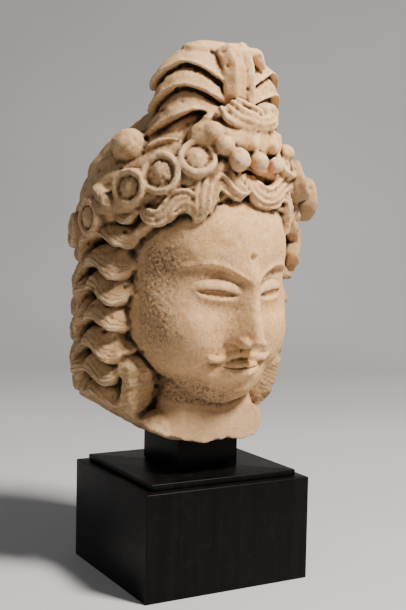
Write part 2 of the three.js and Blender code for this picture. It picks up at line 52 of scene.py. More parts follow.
# The camera, where the photograph was taken from
CAMERA_AZIMUTH = 29.23
CAMERA_ELEVATION = 3.68
CAMERA_ROLL = 1.16
CAMERA_DISTANCE = 996.7
CAMERA_TARGET = (9.2, -5.1, 263.7)
CAMERA_LENS = 59.2
CAMERA_SENSOR = 36

# The head's place on the post
HEAD_BOW = 8
HEAD_TURN = 6
HEAD_CENTRE_ABOVE_SEAT = 147
HEAD_CENTRE_BACK = 6
SEAT_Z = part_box("stand_post")[1].z / MM + 0.3

# The mass of hair, as half sizes round the head's own centre
HAIR_HALF_WIDTH = 107
HAIR_FRONT_DEPTH = 100
HAIR_BACK_DEPTH = 112
HAIR_MIDDLE_BACK = 8
HAIR_WIDEST_Z = 10
HAIR_RISE = 168
HAIR_DROP = 190
HAIR_BELOW_SEAT = 30

# The face, in thirds: hairline to brow, brow to nose base, nose base to chin
FACE_THIRD = 65
BROW_Z = 25
EYE_Z = BROW_Z - 15
NOSE_BASE_Z = BROW_Z - FACE_THIRD
MOUTH_Z = NOSE_BASE_Z - FACE_THIRD / 3
CHIN_Z = NOSE_BASE_Z - FACE_THIRD
HAIRLINE_Z = BROW_Z + FACE_THIRD
EYE_APART = 31
EYE_HALF_WIDTH = 18
MOUTH_HALF_WIDTH = 25
MOUSTACHE_HALF_WIDTH = 36

# The edge of the hair round the face
WINDOW_ANGLE = 59
WINDOW_JAW_CLOSING = 14
WINDOW_DEPTH = 34

# The band, from over the forehead round to the nape
BAND_FRONT_Z = 132
BAND_DROP = 84
BAND_DROP_ANGLE = 105
BAND_NAPE_DROP = 26
BAND_HALF_WIDTH = 13
BAND_HEIGHT = 9

# The tiers of hair beside the cheeks, and the waves of the back that take over from them
BACK_FROM_ANGLE = 122
BACK_FULL_ANGLE = 142
SIDE_TIERS = 8
SIDE_TIER_TOP_Z = 65
SIDE_TIER_PITCH = 26
SIDE_WAVE_START = 62
SIDE_STRAND_ANGLE = 97
SIDE_WAVE = 7
SIDE_WAVE_ANGLE = 41

# The rough block of hair under the jaw
JAW_BLOCK_ANGLE = 62
JAW_BLOCK_TOP_Z = CHIN_Z + 33
JAW_CREASE_PITCH = 4.6

# The topknot
KNOT_HALF_WIDTH = 68
KNOT_HALF_DEPTH = 34
KNOT_CENTRE_Y = -13
KNOT_TOP_Z = 228
KNOT_DOME_HEIGHT = 46
KNOT_SHOULDER_Z = KNOT_TOP_Z - KNOT_DOME_HEIGHT
LAYERS = 3
LAYER_TOP_HEIGHT = 18
LAYER_HEIGHT = 21
LAYER_STEP = 8
LAYER_CREST_ANGLE = 55
LAYER_CREST_SHIFT = 5
LAYER_FALL = 0.5
LAYER_TIE_FALL = 0.009
KNOT_BASE_Z = KNOT_TOP_Z - LAYER_TOP_HEIGHT - LAYER_HEIGHT * (LAYERS + 1)

# How finely the stucco's skin is made
SKIN_STEP = 1.15
SKIN_TRIANGLES = 196000

# The stucco's colours, from the bare surface to what lies on it, with the painted shade and painted
# highlight laid over it
BUFF_DARK = (0.56, 0.29, 0.12)
BUFF = (0.74, 0.425, 0.20)
BUFF_PALE = (0.82, 0.53, 0.285)
OCHRE = (0.64, 0.42, 0.13)
# The near hair's brown is partly patina and partly painted shade; the near cheek's brown is painted shade.
NEAR_HAIR_PATINA_SHADE = (0.27, 0.18, 0.095)
NEAR_CHEEK_SHADE = (0.34, 0.23, 0.12)
# Pale chalky lime, partly worn lime and partly a painted highlight.
CHALK_AND_HIGHLIGHT = (0.84, 0.64, 0.41)
FLECK_PALE = (0.88, 0.65, 0.41)
FLECK_BROWN = (0.27, 0.165, 0.08)
# Painted shade on the neck under the chin, and a darker brown on the hair's far side.
CHIN_SHADE_FAR_DARK = (0.25, 0.16, 0.085)
CRUST = (0.34, 0.22, 0.12)
CRUST_SPECK = (0.10, 0.065, 0.037)
PIT = (0.2, 0.12, 0.06)
# Painted shade below: dark lines in the strands' grooves, grime and painted shade in the hollows, near black
# in the deepest hollows, thin lines along lids and lips.
FURROW_SHADE = (0.10, 0.06, 0.028)
DIRT_AND_SHADE = (0.15, 0.085, 0.037)
DEEP_SHADE = (0.018, 0.011, 0.006)
FINE_LINE_SHADE = (0.09, 0.05, 0.025)


# Plain arithmetic on whole arrays

def smooth(x, low, high):
    """0 below low, 1 above high, and between them the S curve 3t² - 2t³."""
    t = np.clip((x - low) / (high - low), 0, 1)
    return t * t * (3 - 2 * t)


def between(x, rise, high, fall, low):
    """0 up to rise, 1 from high to fall, and 0 again from low on."""
    return smooth(x, rise, high) * (1 - smooth(x, fall, low))


def hump(x, middle, half_width):
    """1 at the middle, falling off on both sides as exp(-t²)."""
    return np.exp(-(((x - middle) / half_width) ** 2))


def arch(t):
    """Half a circle over the stretch from 0 to 1, and 0 outside it."""
    return np.sqrt(np.clip(1 - (2 * t - 1) ** 2, 0, 1))


def unit(v):
    """Vectors brought to length 1."""
    return v / np.maximum(np.linalg.norm(v, axis=-1, keepdims=True), 1e-9)


def stacked(*parts):
    """Three arrays of x, y and z as one array of points."""
    return np.stack(np.broadcast_arrays(*parts), -1)


def smooth_curve(points, count):
    """Evenly numbered places on a Catmull-Rom curve through the points."""
    p = np.asarray(points, float)
    padded = np.concatenate([[2 * p[0] - p[1]], p, [2 * p[-1] - p[-2]]])
    t = np.linspace(0, len(p) - 1, count)
    i = np.minimum(t.astype(int), len(p) - 2)
    f = (t - i)[:, None]
    a, b, c, d = padded[i], padded[i + 1], padded[i + 2], padded[i + 3]
    return 0.5 * (2 * b + (c - a) * f + (2 * a - 5 * b + 4 * c - d) * f**2 + (3 * b - a - 3 * c + d) * f**3)


def ripple(points, wavelength, seed, waves=28):
    """A smooth random field with about that wavelength: a sum of plane waves in random directions."""
    random = np.random.default_rng(seed)
    directions = unit(random.normal(size=(waves, 3))) * random.uniform(0.7, 1.4, (waves, 1))
    phases = random.uniform(0, 2 * np.pi, waves)
    total = np.zeros(points.shape[:-1])
    for direction, phase in zip(directions, phases):
        total += np.cos(points @ (direction * 2 * np.pi / wavelength) + phase)
    return total / np.sqrt(waves / 2)


# Skins: closed rings of points side by side

def closed_skin(rings):
    """Points and triangles of a closed skin. Each ring is joined to the next, and each end ring to
    its own middle. The signed volume tells whether the faces point inwards, and turns them."""
    rows, columns = rings.shape[:2]
    points = np.concatenate([rings.reshape(-1, 3), rings[:1].mean(1), rings[-1:].mean(1)])
    here = np.arange(rows * columns).reshape(rows, columns)
    beside = np.roll(here, -1, 1)
    first, last = np.full(columns, rows * columns), np.full(columns, rows * columns + 1)
    faces = np.concatenate([
        stacked(here[:-1], beside[:-1], beside[1:]).reshape(-1, 3),
        stacked(here[:-1], beside[1:], here[1:]).reshape(-1, 3),
        stacked(first, beside[0], here[0]),
        stacked(last, here[-1], beside[-1]),
    ])
    a, b, c = (points[faces[:, k]] for k in range(3))
    volume = np.sum(a * np.cross(b, c))
    return points, faces if volume > 0 else faces[:, ::-1]


def ball_grid(columns, rows):
    """Angles round Z in degrees, 0 at -Y, and shares of the way down from the top pole."""
    angle = np.linspace(-180, 180, columns, endpoint=False)[None, :]
    share = ((np.arange(rows) + 0.5) / rows)[:, None]
    return np.broadcast_arrays(angle, share)


def ball(columns, rows):
    """The points of a ball of radius 1, and their angles round Z and down from the top."""
    angle, share = ball_grid(columns, rows)
    turn, down = np.radians(angle), np.pi * share
    return stacked(np.sin(down) * np.sin(turn), -np.sin(down) * np.cos(turn), np.cos(down)), turn, down


def egg(half_sizes, middle, columns=48, rows=32):
    """An egg shape with its three half sizes."""
    return closed_skin(ball(columns, rows)[0] * np.array(half_sizes) + np.array(middle))


def carved_bar(points, outward, section, steps, around=48):
    """A bar along a smooth curve. The section gives, for the share of the length and the angle round
    the bar, the distances sideways and outwards from the curve."""
    middle = smooth_curve(points, steps)
    along = unit(np.gradient(middle, axis=0))
    side = unit(np.cross(along, outward(middle)))
    out = np.cross(side, along)
    t = np.linspace(0, 1, steps)[:, None]
    turn = np.linspace(0, 2 * np.pi, around, endpoint=False)[None, :]
    wide, high = section(t, turn)
    return closed_skin(middle[:, None] + wide[..., None] * side[:, None] + high[..., None] * out[:, None])


def strands(half_width, height, root, count, groove, tip=0.35, start=0.45, tilt=0.0):
    """The section of a lock. Outside it is a low arch, cut by sharp grooves into round strands as
    |sin| is; inside it is rooted. It narrows towards both ends, and tilt lifts one edge."""
    def section(t, turn):
        across, up = np.cos(turn), np.sin(turn)
        ends = (start + (1 - start) * smooth(t, 0, 0.18)) * (tip + (1 - tip) * (1 - smooth(t, 0.72, 1)))
        ridges = np.abs(np.sin(np.pi * count * (across + 1) / 2)) ** 0.6
        outer = np.clip(up, 0, 1) ** 0.6 * (height * (1 + tilt * across) - groove * (1 - ridges))
        return half_width * ends * across, ends * np.where(up > 0, outer, up * root)
    return section


def ribbon(half_width, height, root, tip=0.35, start=0.5):
    """The section of a flat lock: two raised edges with a shallow valley between them, and a low
    ridge in the valley."""
    def section(t, turn):
        across, up = np.cos(turn), np.sin(turn)
        ends = (start + (1 - start) * smooth(t, 0, 0.15)) * (tip + (1 - tip) * (1 - smooth(t, 0.75, 1)))
        ridges = hump(across, -0.8, 0.17) + 0.9 * hump(across, 0.8, 0.17) + 0.4 * hump(across, 0.05, 0.15)
        outer = height * np.clip(up, 0, 1) ** 0.45 * (0.58 + 0.42 * ridges)
        return half_width * ends * across, ends * np.where(up > 0, outer, up * root)
    return section


# The hair's outer surface

def hair_scale(z):
    """The hair's half width at a height, as a share of the widest: a fuller curve below."""
    above = z > HAIR_WIDEST_Z
    share = np.abs(z - HAIR_WIDEST_Z) / np.where(above, HAIR_RISE, HAIR_DROP)
    fullness = np.where(above, 2.2, 3.2)
    return (1 - np.minimum(share, 0.995) ** fullness) ** (1 / fullness)


def on_hair(angle, z, lift=0):
    """The place on the hair at an angle and a height, lifted outwards."""
    turn = np.radians(angle)
    scale = hair_scale(z)
    depth = np.where(np.cos(turn) > 0, HAIR_FRONT_DEPTH, HAIR_BACK_DEPTH)
    return stacked(
        (HAIR_HALF_WIDTH * scale + lift) * np.sin(turn),
        HAIR_MIDDLE_BACK - (depth * scale + lift) * np.cos(turn),
        z,
    )


def hair_outward(points):
    """The way out of the hair, leaning up over the crown."""
    away = unit((points - [0, HAIR_MIDDLE_BACK, 0]) * [1, 1, 0])
    lean = 1.6 * smooth(points[..., 2], HAIRLINE_Z - 10, HAIR_WIDEST_Z + HAIR_RISE)
    return unit(away + stacked(0 * lean, 0 * lean, lean))


def band_z(angle):
    """The height of the band, from over the forehead down to the nape."""
    away = np.abs(angle)
    drop = BAND_DROP * np.minimum(1, away / BAND_DROP_ANGLE) ** 1.25
    return BAND_FRONT_Z - drop - BAND_NAPE_DROP * smooth(away, BAND_DROP_ANGLE, 180)


def window_edge(z):
    """Half the angle that the hair leaves free for the face, less under the jaw and over the brows."""
    closing = WINDOW_JAW_CLOSING * (1 - smooth(z, CHIN_Z + 28, CHIN_Z + 60))
    return (WINDOW_ANGLE - closing) * np.sqrt(1 - smooth(z, BROW_Z + 10, HAIRLINE_Z + 4))


def tier_edge(away, number):
    """The height of a tier's lower edge, at an angle from the front. It curls up at the cheek, dips to
    a trough, rises over a crest, and waves on lower towards the back. No two tiers are quite alike."""
    along = away - SIDE_WAVE_START + 2 * np.sin(1.9 * number)
    swing = SIDE_WAVE * (1 + 0.22 * np.sin(2.7 * number + 1)) * (1 - 0.4 * smooth(along, 34, 74))
    curl = 13 * np.exp(-np.maximum(along - 1, 0) / 4)
    level = SIDE_TIER_TOP_Z - SIDE_TIER_PITCH * number + 1.5 * np.sin(2.2 * number)
    wave = swing * np.cos(2 * np.pi * (along - 4) / SIDE_WAVE_ANGLE)
    return level - wave + curl - 0.35 * np.maximum(0, along - 24)


def side_tiers(away, z):
    """The hair beside the cheeks: its lift, and how many strands lie between each place and the rim
    below it. Each tier swells down like a scoop to a thick rim, cut along by fine grooves, and the
    one below starts far back under it, farthest under the crests. An upright strand parts the tiers
    from the next ones, half a tier higher."""
    behind = smooth(away, SIDE_STRAND_ANGLE - 2, SIDE_STRAND_ANGLE + 2)
    z = z + behind * SIDE_TIER_PITCH / 2
    pinch = 0.5 + 0.5 * smooth(away, 60, 72)
    lift, count = np.full(z.shape, -6.0), np.zeros(z.shape)
    for number in range(SIDE_TIERS - 1, -2, -1):
        above, under = z - tier_edge(away, number), tier_edge(away, number - 1) - z
        scoop = 9 - 15 * smooth(above / SIDE_TIER_PITCH, 0, 1.15)
        rounded = 7 * (1 - np.sqrt(1 - np.clip(1 - above / 3, 0, 1) ** 2))
        strand = above / pinch / (4.4 + 0.6 * np.sin(away / 7 + 2.3 * number))
        grooves = 1 - np.abs(np.sin(np.pi * strand)) ** 0.6
        grooves = grooves * (2.6 - 1.7 * smooth(above, 4, 18)) * smooth(above, 1.5, 4)
        hole = 8 * hump(away, SIDE_WAVE_START + 4 + SIDE_WAVE_ANGLE / 2, 7) * hump(under, 4, 5)
        lift = np.where(above >= 0, scoop - rounded - grooves - hole, lift)
        count = np.where(above >= 0, strand, count)
    bow = away - SIDE_STRAND_ANGLE - 1.5 * np.sin(z / 11)
    lift = lift * (1 - 0.4 * behind) - 3 * hump(bow, -4.5, 2) + 6 * hump(bow, 0, 2.4)
    return lift - 5 * (1 - smooth(away, 61, 74)), count


def under_jaw(away, z):
    """1 in the rough block of hair under the jaw, 0 outside it."""
    behind = smooth(away, JAW_BLOCK_ANGLE, JAW_BLOCK_ANGLE + 4)
    return (1 - behind) * (1 - smooth(z, JAW_BLOCK_TOP_Z, JAW_BLOCK_TOP_Z + 5))


def jaw_creases(angle, z):
    """How many of the rough block's creases lie below each place: crosswise near, slanting far."""
    return (z + np.where(angle > 0, 1.4, 0.35) * np.abs(angle)) / JAW_CREASE_PITCH


def strand_lines(local):
    """How many fine strands lie below each place of the skin, and how clearly they show there."""
    x, y, z = local.T
    depth = np.where(y < HAIR_MIDDLE_BACK, HAIR_FRONT_DEPTH, HAIR_BACK_DEPTH)
    angle = np.degrees(np.arctan2(x / HAIR_HALF_WIDTH, (HAIR_MIDDLE_BACK - y) / depth))
    away, edge = np.abs(angle), window_edge(z)
    strands = side_tiers(away, z)[1]
    in_block = under_jaw(away, z) > 0.5
    on_rims = between(away, 60, 70, 118, 135) * (1 - 0.85 * smooth(strands, 1.8, 4.2))
    shown = np.where(in_block, 0.5 * smooth(away, edge + 3, edge + 8), on_rims)
    return np.where(in_block, jaw_creases(angle, z), strands), shown * smooth(band_z(angle) - z, 8, 16)


def hair_mass():
    """The hair under the locks. It sinks behind the face, swells over the band, falls in tiers beside
    the cheeks and in a rough block under the jaw, and down the back in broad upright waves."""
    angle, share = ball_grid(560, 480)
    z = HAIR_WIDEST_Z + HAIR_RISE - 5 - share * (HAIR_RISE + HAIR_DROP - 8)
    away, edge = np.abs(angle), window_edge(z)
    outside = smooth(away, edge, edge + 13)
    over = z - band_z(angle)
    swell = 9 * (smooth(over, 0, 20) * (1 - smooth(z, 110, 150))) * smooth(away, 70, 95)
    below_band = smooth(-over, 0, 14)
    shifted = angle + 2.2 * np.sin(z / 13 + 0.6 * np.sin(z / 31)) + 3 * np.sin(z / 47)
    waves = 5 * np.cos(np.radians(shifted * 12)) - 1.3 * np.abs(np.cos(np.radians(shifted * 24))) ** 6
    behind = smooth(away, BACK_FROM_ANGLE, BACK_FULL_ANGLE)
    beside = np.maximum(smooth(away, 50, 58), 1 - smooth(z, CHIN_Z + 45, CHIN_Z + 55))
    beside = beside * (1 - behind) * below_band
    place = on_hair(angle, z)
    creases = np.abs(np.sin(np.pi * (jaw_creases(angle, z) + 0.3 * ripple(place, 14, 21)))) ** 0.5
    rough = smooth(ripple(place, 17, 22), -0.9, 0.4)
    block = 1.5 + (1.8 * creases - 1) * rough + 0.6 * ripple(place, 9, 23)
    block = block - 5 * (1 - smooth(z, CHIN_Z - 14, CHIN_Z - 2))
    in_block = under_jaw(away, z)
    tiers = side_tiers(away, z)[0] * (1 - in_block) + block * in_block
    layers = 2.2 * np.abs(np.sin((over + 2 * np.sin(away / 7)) / 7.5)) * smooth(over, 6, 16)
    crown = layers * (1 - smooth(z, 128, 150)) * smooth(away, 40, 60)
    sunk = WINDOW_DEPTH - 13 * smooth(z, CHIN_Z + 28, CHIN_Z + 55)
    lift = swell + behind * below_band * waves + beside * tiers + crown - sunk * (1 - outside)
    return closed_skin(on_hair(angle, z, lift))


# The face

EGGS = np.array([
    [[0, 8, 26], [90, 100, 92]],
    [[0, -24, 46], [74, 71, 72]],
    [[0, -26, -20], [86, 70, 74]],
    [[32, -48, -40], [40, 42, 42]],
    [[-32, -48, -40], [40, 42, 42]],
    [[0, -57, CHIN_Z + 32], [44, 39, 32]],
], float)
EGG_BLEND = 20


def egg_reach(direction):
    """How far the blended hull of the egg shapes lies from the centre: the high-power mean of the
    distances to each egg's far side, where the line meets it."""
    total = 0
    for middle, half in EGGS:
        d = direction / half
        o = -middle / half
        a = np.sum(d * d, -1)
        b = 2 * np.sum(d * o, -1)
        inside = b * b - 4 * a * (o @ o - 1)
        reach = np.where(inside < 0, 0, (-b + np.sqrt(np.maximum(inside, 0))) / (2 * a))
        total = total + np.maximum(reach, 0) ** EGG_BLEND
    return total ** (1 / EGG_BLEND)


def brow_line(side):
    """The height of the brow's ridge at a distance from the middle: a long even arch."""
    return BROW_Z - 4 + 13 * np.sin(np.pi * 0.86 * np.clip((side - 5) / 58, 0, 1))


def lid_edges(side):
    """The heights of the upper lid's margin, the lower lid's, and the fold over the upper lid, and how
    far inside the corners of the eye each place lies, 1 in the middle and 0 beyond them."""
    u = (side - EYE_APART) / EYE_HALF_WIDTH
    inside = np.clip(1 - u**2, 0, 1)
    middle = EYE_Z - 2.5 + 0.8 * u
    fold = EYE_Z - 0.5 + 10.5 * np.clip(1 - (u / 1.35) ** 2, 0, 1) ** 0.6
    return middle + 2.6 * inside**0.6, middle - 4.6 * inside**0.7, fold, inside


def eye_relief(side, z):
    """Half-closed eyes: an eyeball, a broad upper lid with a crisp margin, the narrow slit below it,
    and a thin lower lid."""
    upper, lower, fold, inside = lid_edges(side)
    u = (side - EYE_APART) / EYE_HALF_WIDTH
    near = smooth(1.35 - np.abs(u), 0, 0.5)
    eyeball = 8 * np.exp(-(np.abs(u / 1.1) ** 3) - np.abs((z - EYE_Z) / 14) ** 3)
    upper_lid = 2.2 * smooth(z, upper - 0.2, upper + 0.7) * (1 - smooth(z, fold - 6, fold + 1))
    lower_lid = 1.2 * smooth(-z, -lower - 0.3, -lower + 0.6) * (1 - smooth(-z, -lower + 1, -lower + 5))
    slit = 1.5 * smooth(z, lower - 0.3, lower + 1) * (1 - smooth(z, upper - 0.2, upper + 0.3))
    fold_groove = 1.6 * hump(z, fold + 0.5, 1.4)
    return eyeball + (upper_lid + lower_lid - fold_groove) * near - slit * smooth(inside, 0, 0.12)


def mouth_line(x):
    """The height of the line where the lips meet."""
    across = np.clip(np.abs(x) / MOUTH_HALF_WIDTH, 0, 1)
    return MOUTH_Z + 1.7 * across**2.4 + 0.7 * hump(x, 0, 3)


def mouth_relief(x, z):
    """Closed lips on a low mound, the groove above them, their corners and the crease below."""
    across = np.clip(np.abs(x) / MOUTH_HALF_WIDTH, 0, 1)
    line = mouth_line(x)
    top = line + 0.4 + (7.2 - 2 * hump(x, 0, 3)) * (1 - across**1.7)
    bottom = line - 0.4 - 8.2 * (1 - across**2.1)
    full = (1 - across**3) * (np.abs(x) < MOUTH_HALF_WIDTH)
    upper_lip = 4.3 * arch(np.clip((z - line) / (top - line), 0, 1)) * full
    lower_lip = 4.8 * arch(np.clip((line - z) / (line - bottom), 0, 1)) * full
    parting = 1.4 * hump(z, line, 0.9) * smooth(MOUTH_HALF_WIDTH + 2 - np.abs(x), 0, 3)
    mound = 4.5 * hump(x, 0, 30) * hump(z, MOUTH_Z, 19)
    philtrum = 0.8 * hump(x, 0, 3) * smooth(z, top - 1, top + 2) * smooth(NOSE_BASE_Z - z, 0, 4)
    chin_crease = 3 * hump(z, MOUTH_Z - 16, 4.5) * hump(x, 0, 20)
    corners = 1.2 * hump(np.abs(x), MOUTH_HALF_WIDTH + 3, 4) * hump(z, MOUTH_Z + 1, 5)
    return upper_lip + lower_lip + mound - parting - philtrum - chin_crease - corners


def fine_lines(local):
    """How far above the lid's margin, the lid's fold and the lips' parting each place lies, in
    millimetres. Towards a line's ends the distances are stretched, so that it tapers out there."""
    x, y, z = local.T
    upper, lower, fold, inside = lid_edges(np.abs(x))
    fold_share = np.clip(1 - ((np.abs(x) - EYE_APART) / EYE_HALF_WIDTH / 1.25) ** 2, 0, 1)
    lips_share = np.clip(1 - (x / MOUTH_HALF_WIDTH) ** 4, 0, 1)
    front = smooth(-y, 50, 60)
    pairs = (upper, inside), (fold + 0.5, fold_share), (mouth_line(x), lips_share)
    return [np.clip((z - line) / np.maximum(share * front, 0.01), -20, 20) for line, share in pairs]


def nose_relief(side, z):
    """A straight ridge that widens and rises from the brows to the tip."""
    down = np.clip((BROW_Z + 6 - z) / (BROW_Z - NOSE_BASE_Z), 0, 1)
    standing = smooth(z, NOSE_BASE_Z - 0.5, NOSE_BASE_Z + 6) * (1 - smooth(z, BROW_Z - 4, BROW_Z + 16))
    ridge = (5 + 18 * down**1.2) * np.exp(-((side / (7 + 5.5 * down)) ** 2.5))
    flank = 5 * hump(side, 0, 15) * smooth(z, NOSE_BASE_Z, NOSE_BASE_Z + 12)
    return (ridge + flank) * standing


def face_relief(x, z):
    """How far each place of the face stands forward of the smooth egg."""
    side = np.abs(x)
    brow = brow_line(side)
    along_brow = between(side, 3, 9, 56, 68)
    across = hump(side, EYE_APART, 24)
    socket = 7 * across * (1 - smooth(z, brow - 11, brow + 0.5)) * smooth(z, EYE_Z - 34, EYE_Z - 3)
    brow_ridge = 2.1 * hump(z, brow, 2) * along_brow
    under_brow = 1.2 * hump(z, brow - 4.5, 2.5) * along_brow
    cheek = 3 * hump(side, 44, 20) * hump(z, NOSE_BASE_Z + 20, 20)
    smile = 1.1 * hump(side, 17 + (NOSE_BASE_Z + 4 - z) * 0.75, 4) * smooth(NOSE_BASE_Z + 6 - z, 0, 8)
    smile = smile * smooth(z, MOUTH_Z - 4, MOUTH_Z + 4)
    ring = np.hypot(x, z - BROW_Z - 17)
    mark = 1.8 * np.exp(-((ring / 3.6) ** 4)) - 0.7 * hump(ring, 5.2, 1.5)
    return (
        nose_relief(side, z) + eye_relief(side, z) + mouth_relief(x, z)
        + brow_ridge + cheek - under_brow - socket - smile - mark
    )


def face_point(angle, elevation):
    """The face in a direction from its centre, with its relief carved forward of the smooth egg."""
    turn, rise = np.radians(angle), np.radians(elevation)
    direction = stacked(np.sin(turn) * np.cos(rise), -np.cos(turn) * np.cos(rise), np.sin(rise))
    place = direction * egg_reach(direction)[..., None]
    front = smooth(-place[..., 1], 20, 60)
    forward = front * face_relief(place[..., 0], place[..., 2])
    return place - stacked(0 * forward, forward, 0 * forward)


def face_and_skull():
    """The face and skull, with its columns drawn together over the face."""
    angle, share = ball_grid(400, 330)
    return closed_skin(face_point(angle - 35 * np.sin(np.radians(angle)), 90 - 180 * share))


def on_face(x, z, lift=0):
    """The places of the face at distances from its middle and heights, found by stepping closer."""
    x, z = np.asarray(x, float), np.asarray(z, float)
    angle, elevation = x.copy(), z.copy()
    for _ in range(8):
        place = face_point(angle, elevation)
        reach = np.hypot(place[..., 0], place[..., 1])
        angle = angle + np.degrees((x - place[..., 0]) / reach)
        elevation = elevation + np.degrees((z - place[..., 2]) / reach)
    place = face_point(angle, elevation)
    return place + lift * face_outward(place)


def face_outward(points):
    """The way out of the face, a little to the side away from the middle."""
    return unit(stacked(points[..., 0] / 90, -1 + 0 * points[..., 0], 0 * points[..., 0]))


def nose_end():
    """The round tip of the nose and its two wings, as egg shapes that the ridge runs into."""
    tip = on_face(0, NOSE_BASE_Z + 8)
    wings = [egg((5.4, 11, 6), [side * 8.4, tip[1] + 14.5, NOSE_BASE_Z + 5]) for side in (-1, 1)]
    return [egg((7.4, 8, 6.4), tip + [0, 6.4, -1]), *wings]


def nostrils():
    """Two small hollows under the nose, to be cut away."""
    tip = on_face(0, NOSE_BASE_Z + 8)
    return [egg((3, 4.2, 3.6), [side * 6.2, tip[1] + 11.5, NOSE_BASE_Z - 1.2], 24, 16) for side in (-1, 1)]


def moustache():
    """Two thin wings that meet under the nose, with their ends turned up."""
    made = []
    for side in (-1, 1):
        x = side * np.array([-2, 6, 15, 25, 33, MOUSTACHE_HALF_WIDTH])
        z = MOUTH_Z + np.array([11, 11.8, 9.6, 7.6, 9, 12.5])
        section = strands(3, 2.4, 4, 1, 0, tip=0.2, start=0.6)
        made.append(carved_bar(on_face(x, z, 0.8), face_outward, section, 60, 36))
    return made


# The neck

def neck():
    """The neck, flaring to the broken edge, as rounded squares that follow the bow of the head."""
    angle, share = ball_grid(240, 120)
    z = NOSE_BASE_Z - share * (NOSE_BASE_Z + HEAD_CENTRE_ABOVE_SEAT + HAIR_BELOW_SEAT)
    turn = np.radians(angle)
    corner = (np.abs(np.sin(turn)) ** 2.6 + np.abs(np.cos(turn)) ** 2.6) ** (-1 / 2.6)
    flare = corner * (0.74 + 0.32 * smooth(share, 0.35, 0.85))
    middle = np.tan(np.radians(HEAD_BOW)) * z - 20
    return closed_skin(stacked(64 * flare * np.sin(turn), middle - 52 * flare * np.cos(turn), z))


def neck_root(side):
    """The neck's swelling out into what was the shoulder."""
    return egg((36, 34, 40), (side * 44, -42, CHIN_Z - 46))


# Locks of hair

def hair_bar(places, section, steps, around=48):
    """A bar over the hair, through places of angle, height and lift."""
    angle, z, lift = np.array(places, float).T
    return carved_bar(on_hair(angle, z, lift), hair_outward, section, steps, around)


# Each lock over the forehead: places as angle and height, then half width, height and lift
FOREHEAD_LOCKS = [
    ([[-1.2, 114], [-5, 103], [-9.7, 106], [-13.4, 113.4], [-18.5, 116.7], [-23.7, 113], [-27, 104.6],
      [-28.1, 95], [-28.2, 84.4], [-28.8, 75.6], [-32, 71.6]], 8.5, 11, 1),
    ([[-4.4, 94], [-9.6, 97], [-14.7, 100.8], [-19.2, 105.5], [-21.8, 100], [-22.7, 90], [-23.8, 78.7]],
     5.5, 9, 0),
    ([[-59.5, 76.4], [-55.3, 72], [-50.9, 69.5], [-47.3, 73.8], [-45, 81.3], [-42.1, 88], [-37.9, 91.4],
      [-33.3, 88.7], [-30.4, 81.4]], 7.5, 11, 1),
    ([[-45.4, 67.7], [-43, 76.1], [-39.9, 82], [-36, 83.6], [-32.7, 79], [-30.8, 72]], 5, 9, 0),
    ([[-30, 104], [-34, 99], [-39, 97], [-45, 93], [-52, 84], [-57, 80]], 6, 9, 1),
    ([[0.8, 114], [1.1, 106.2], [4.9, 99.5], [11.7, 97], [19.2, 100.8], [28, 107.2], [42.7, 109.5],
      [49, 100], [50, 88], [46, 78], [36, 70.6]], 8.5, 11, 1),
    ([[0.4, 101.5], [3.3, 94.6], [10, 91], [17.8, 91.5], [25.7, 97], [32.8, 94.8], [34.6, 85],
      [34.4, 72.3], [33.5, 61]], 6, 9, 0),
    ([[50, 96], [54, 88], [54, 76], [50, 66]], 8, 10, 1),
    ([[48, 74], [45, 63], [49, 52], [45, 42], [49, 32], [48, 22]], 7, 9, 1),
]


def forehead_lock(places, half_width, height, lift):
    """A flat lock with raised edges, proud of the forehead and casting its shadow on it."""
    lifted = [[angle, z, lift] for angle, z in places]
    return hair_bar(lifted, ribbon(half_width, height, 15), 20 * len(places), 72)


# The band, its rosettes, buds and pearls

def set_on_hair(shape, angle, z, lift):
    """A shape whose axes are sideways, upwards and outwards, set on the hair."""
    middle = on_hair(angle, z, lift)
    out = hair_outward(middle)
    side = unit(np.cross([0, 0, 1], out))
    up = np.cross(out, side)
    return closed_skin(middle + shape[..., :1] * side + shape[..., 1:2] * up + shape[..., 2:] * out)


def band(side):
    """The band round the head, a low rounded strip."""
    angle = np.linspace(-2, 182, 30)
    places = np.stack([side * angle, band_z(angle), np.full(30, 1.0)], 1)

    def section(t, turn):
        return BAND_HALF_WIDTH * np.cos(turn) + 0 * t, BAND_HEIGHT * np.sin(turn) + 0 * t
    return hair_bar(places, section, 160)


def rosette(angle, z, grow, lift, petals=8):
    """A disc with a round raised rim, a narrow sunk ring and a domed boss cut into petals."""
    r, depth = 19 * grow, 16.0
    boss = 0.62 * r
    around, back_rings, wall_rings, face_rings = 72, 8, 6, 52
    turn = np.linspace(0, 2 * np.pi, around, endpoint=False)[None, :]
    radius = np.linspace(0.05, r, back_rings), np.full(wall_rings, r), np.linspace(r, 0.1, face_rings)
    radius = np.concatenate(radius)[:, None]
    inner = np.clip(radius / boss, 0, 1)
    petal = np.abs(np.cos(petals / 2 * turn)) ** 5 * inner**1.2 * (1 - 0.4 * inner)
    dome = -2.8 + 5.8 * np.sqrt(1 - inner**2) - 1.5 * petal
    button = 1.4 * hump(radius, 0, 3.2)
    rim = 2.4 * arch((r - radius) / 6.4)
    floor = -2.8 + 2.8 * smooth(radius, r - 6.8, r - 5.2)
    face = np.maximum(dome + button, floor + rim)
    wall = np.linspace(-depth, 0, wall_rings)[:, None] + np.zeros((wall_rings, around))
    height = np.concatenate([np.full((back_rings, around), -depth), wall, face[-face_rings:]])
    wobble = 1 + 0.03 * np.sin(2 * turn + angle) + 0.02 * np.sin(3 * turn + z)
    shape = stacked(radius * wobble * np.cos(turn), radius * wobble * np.sin(turn), height)
    return set_on_hair(shape, angle, z, lift)


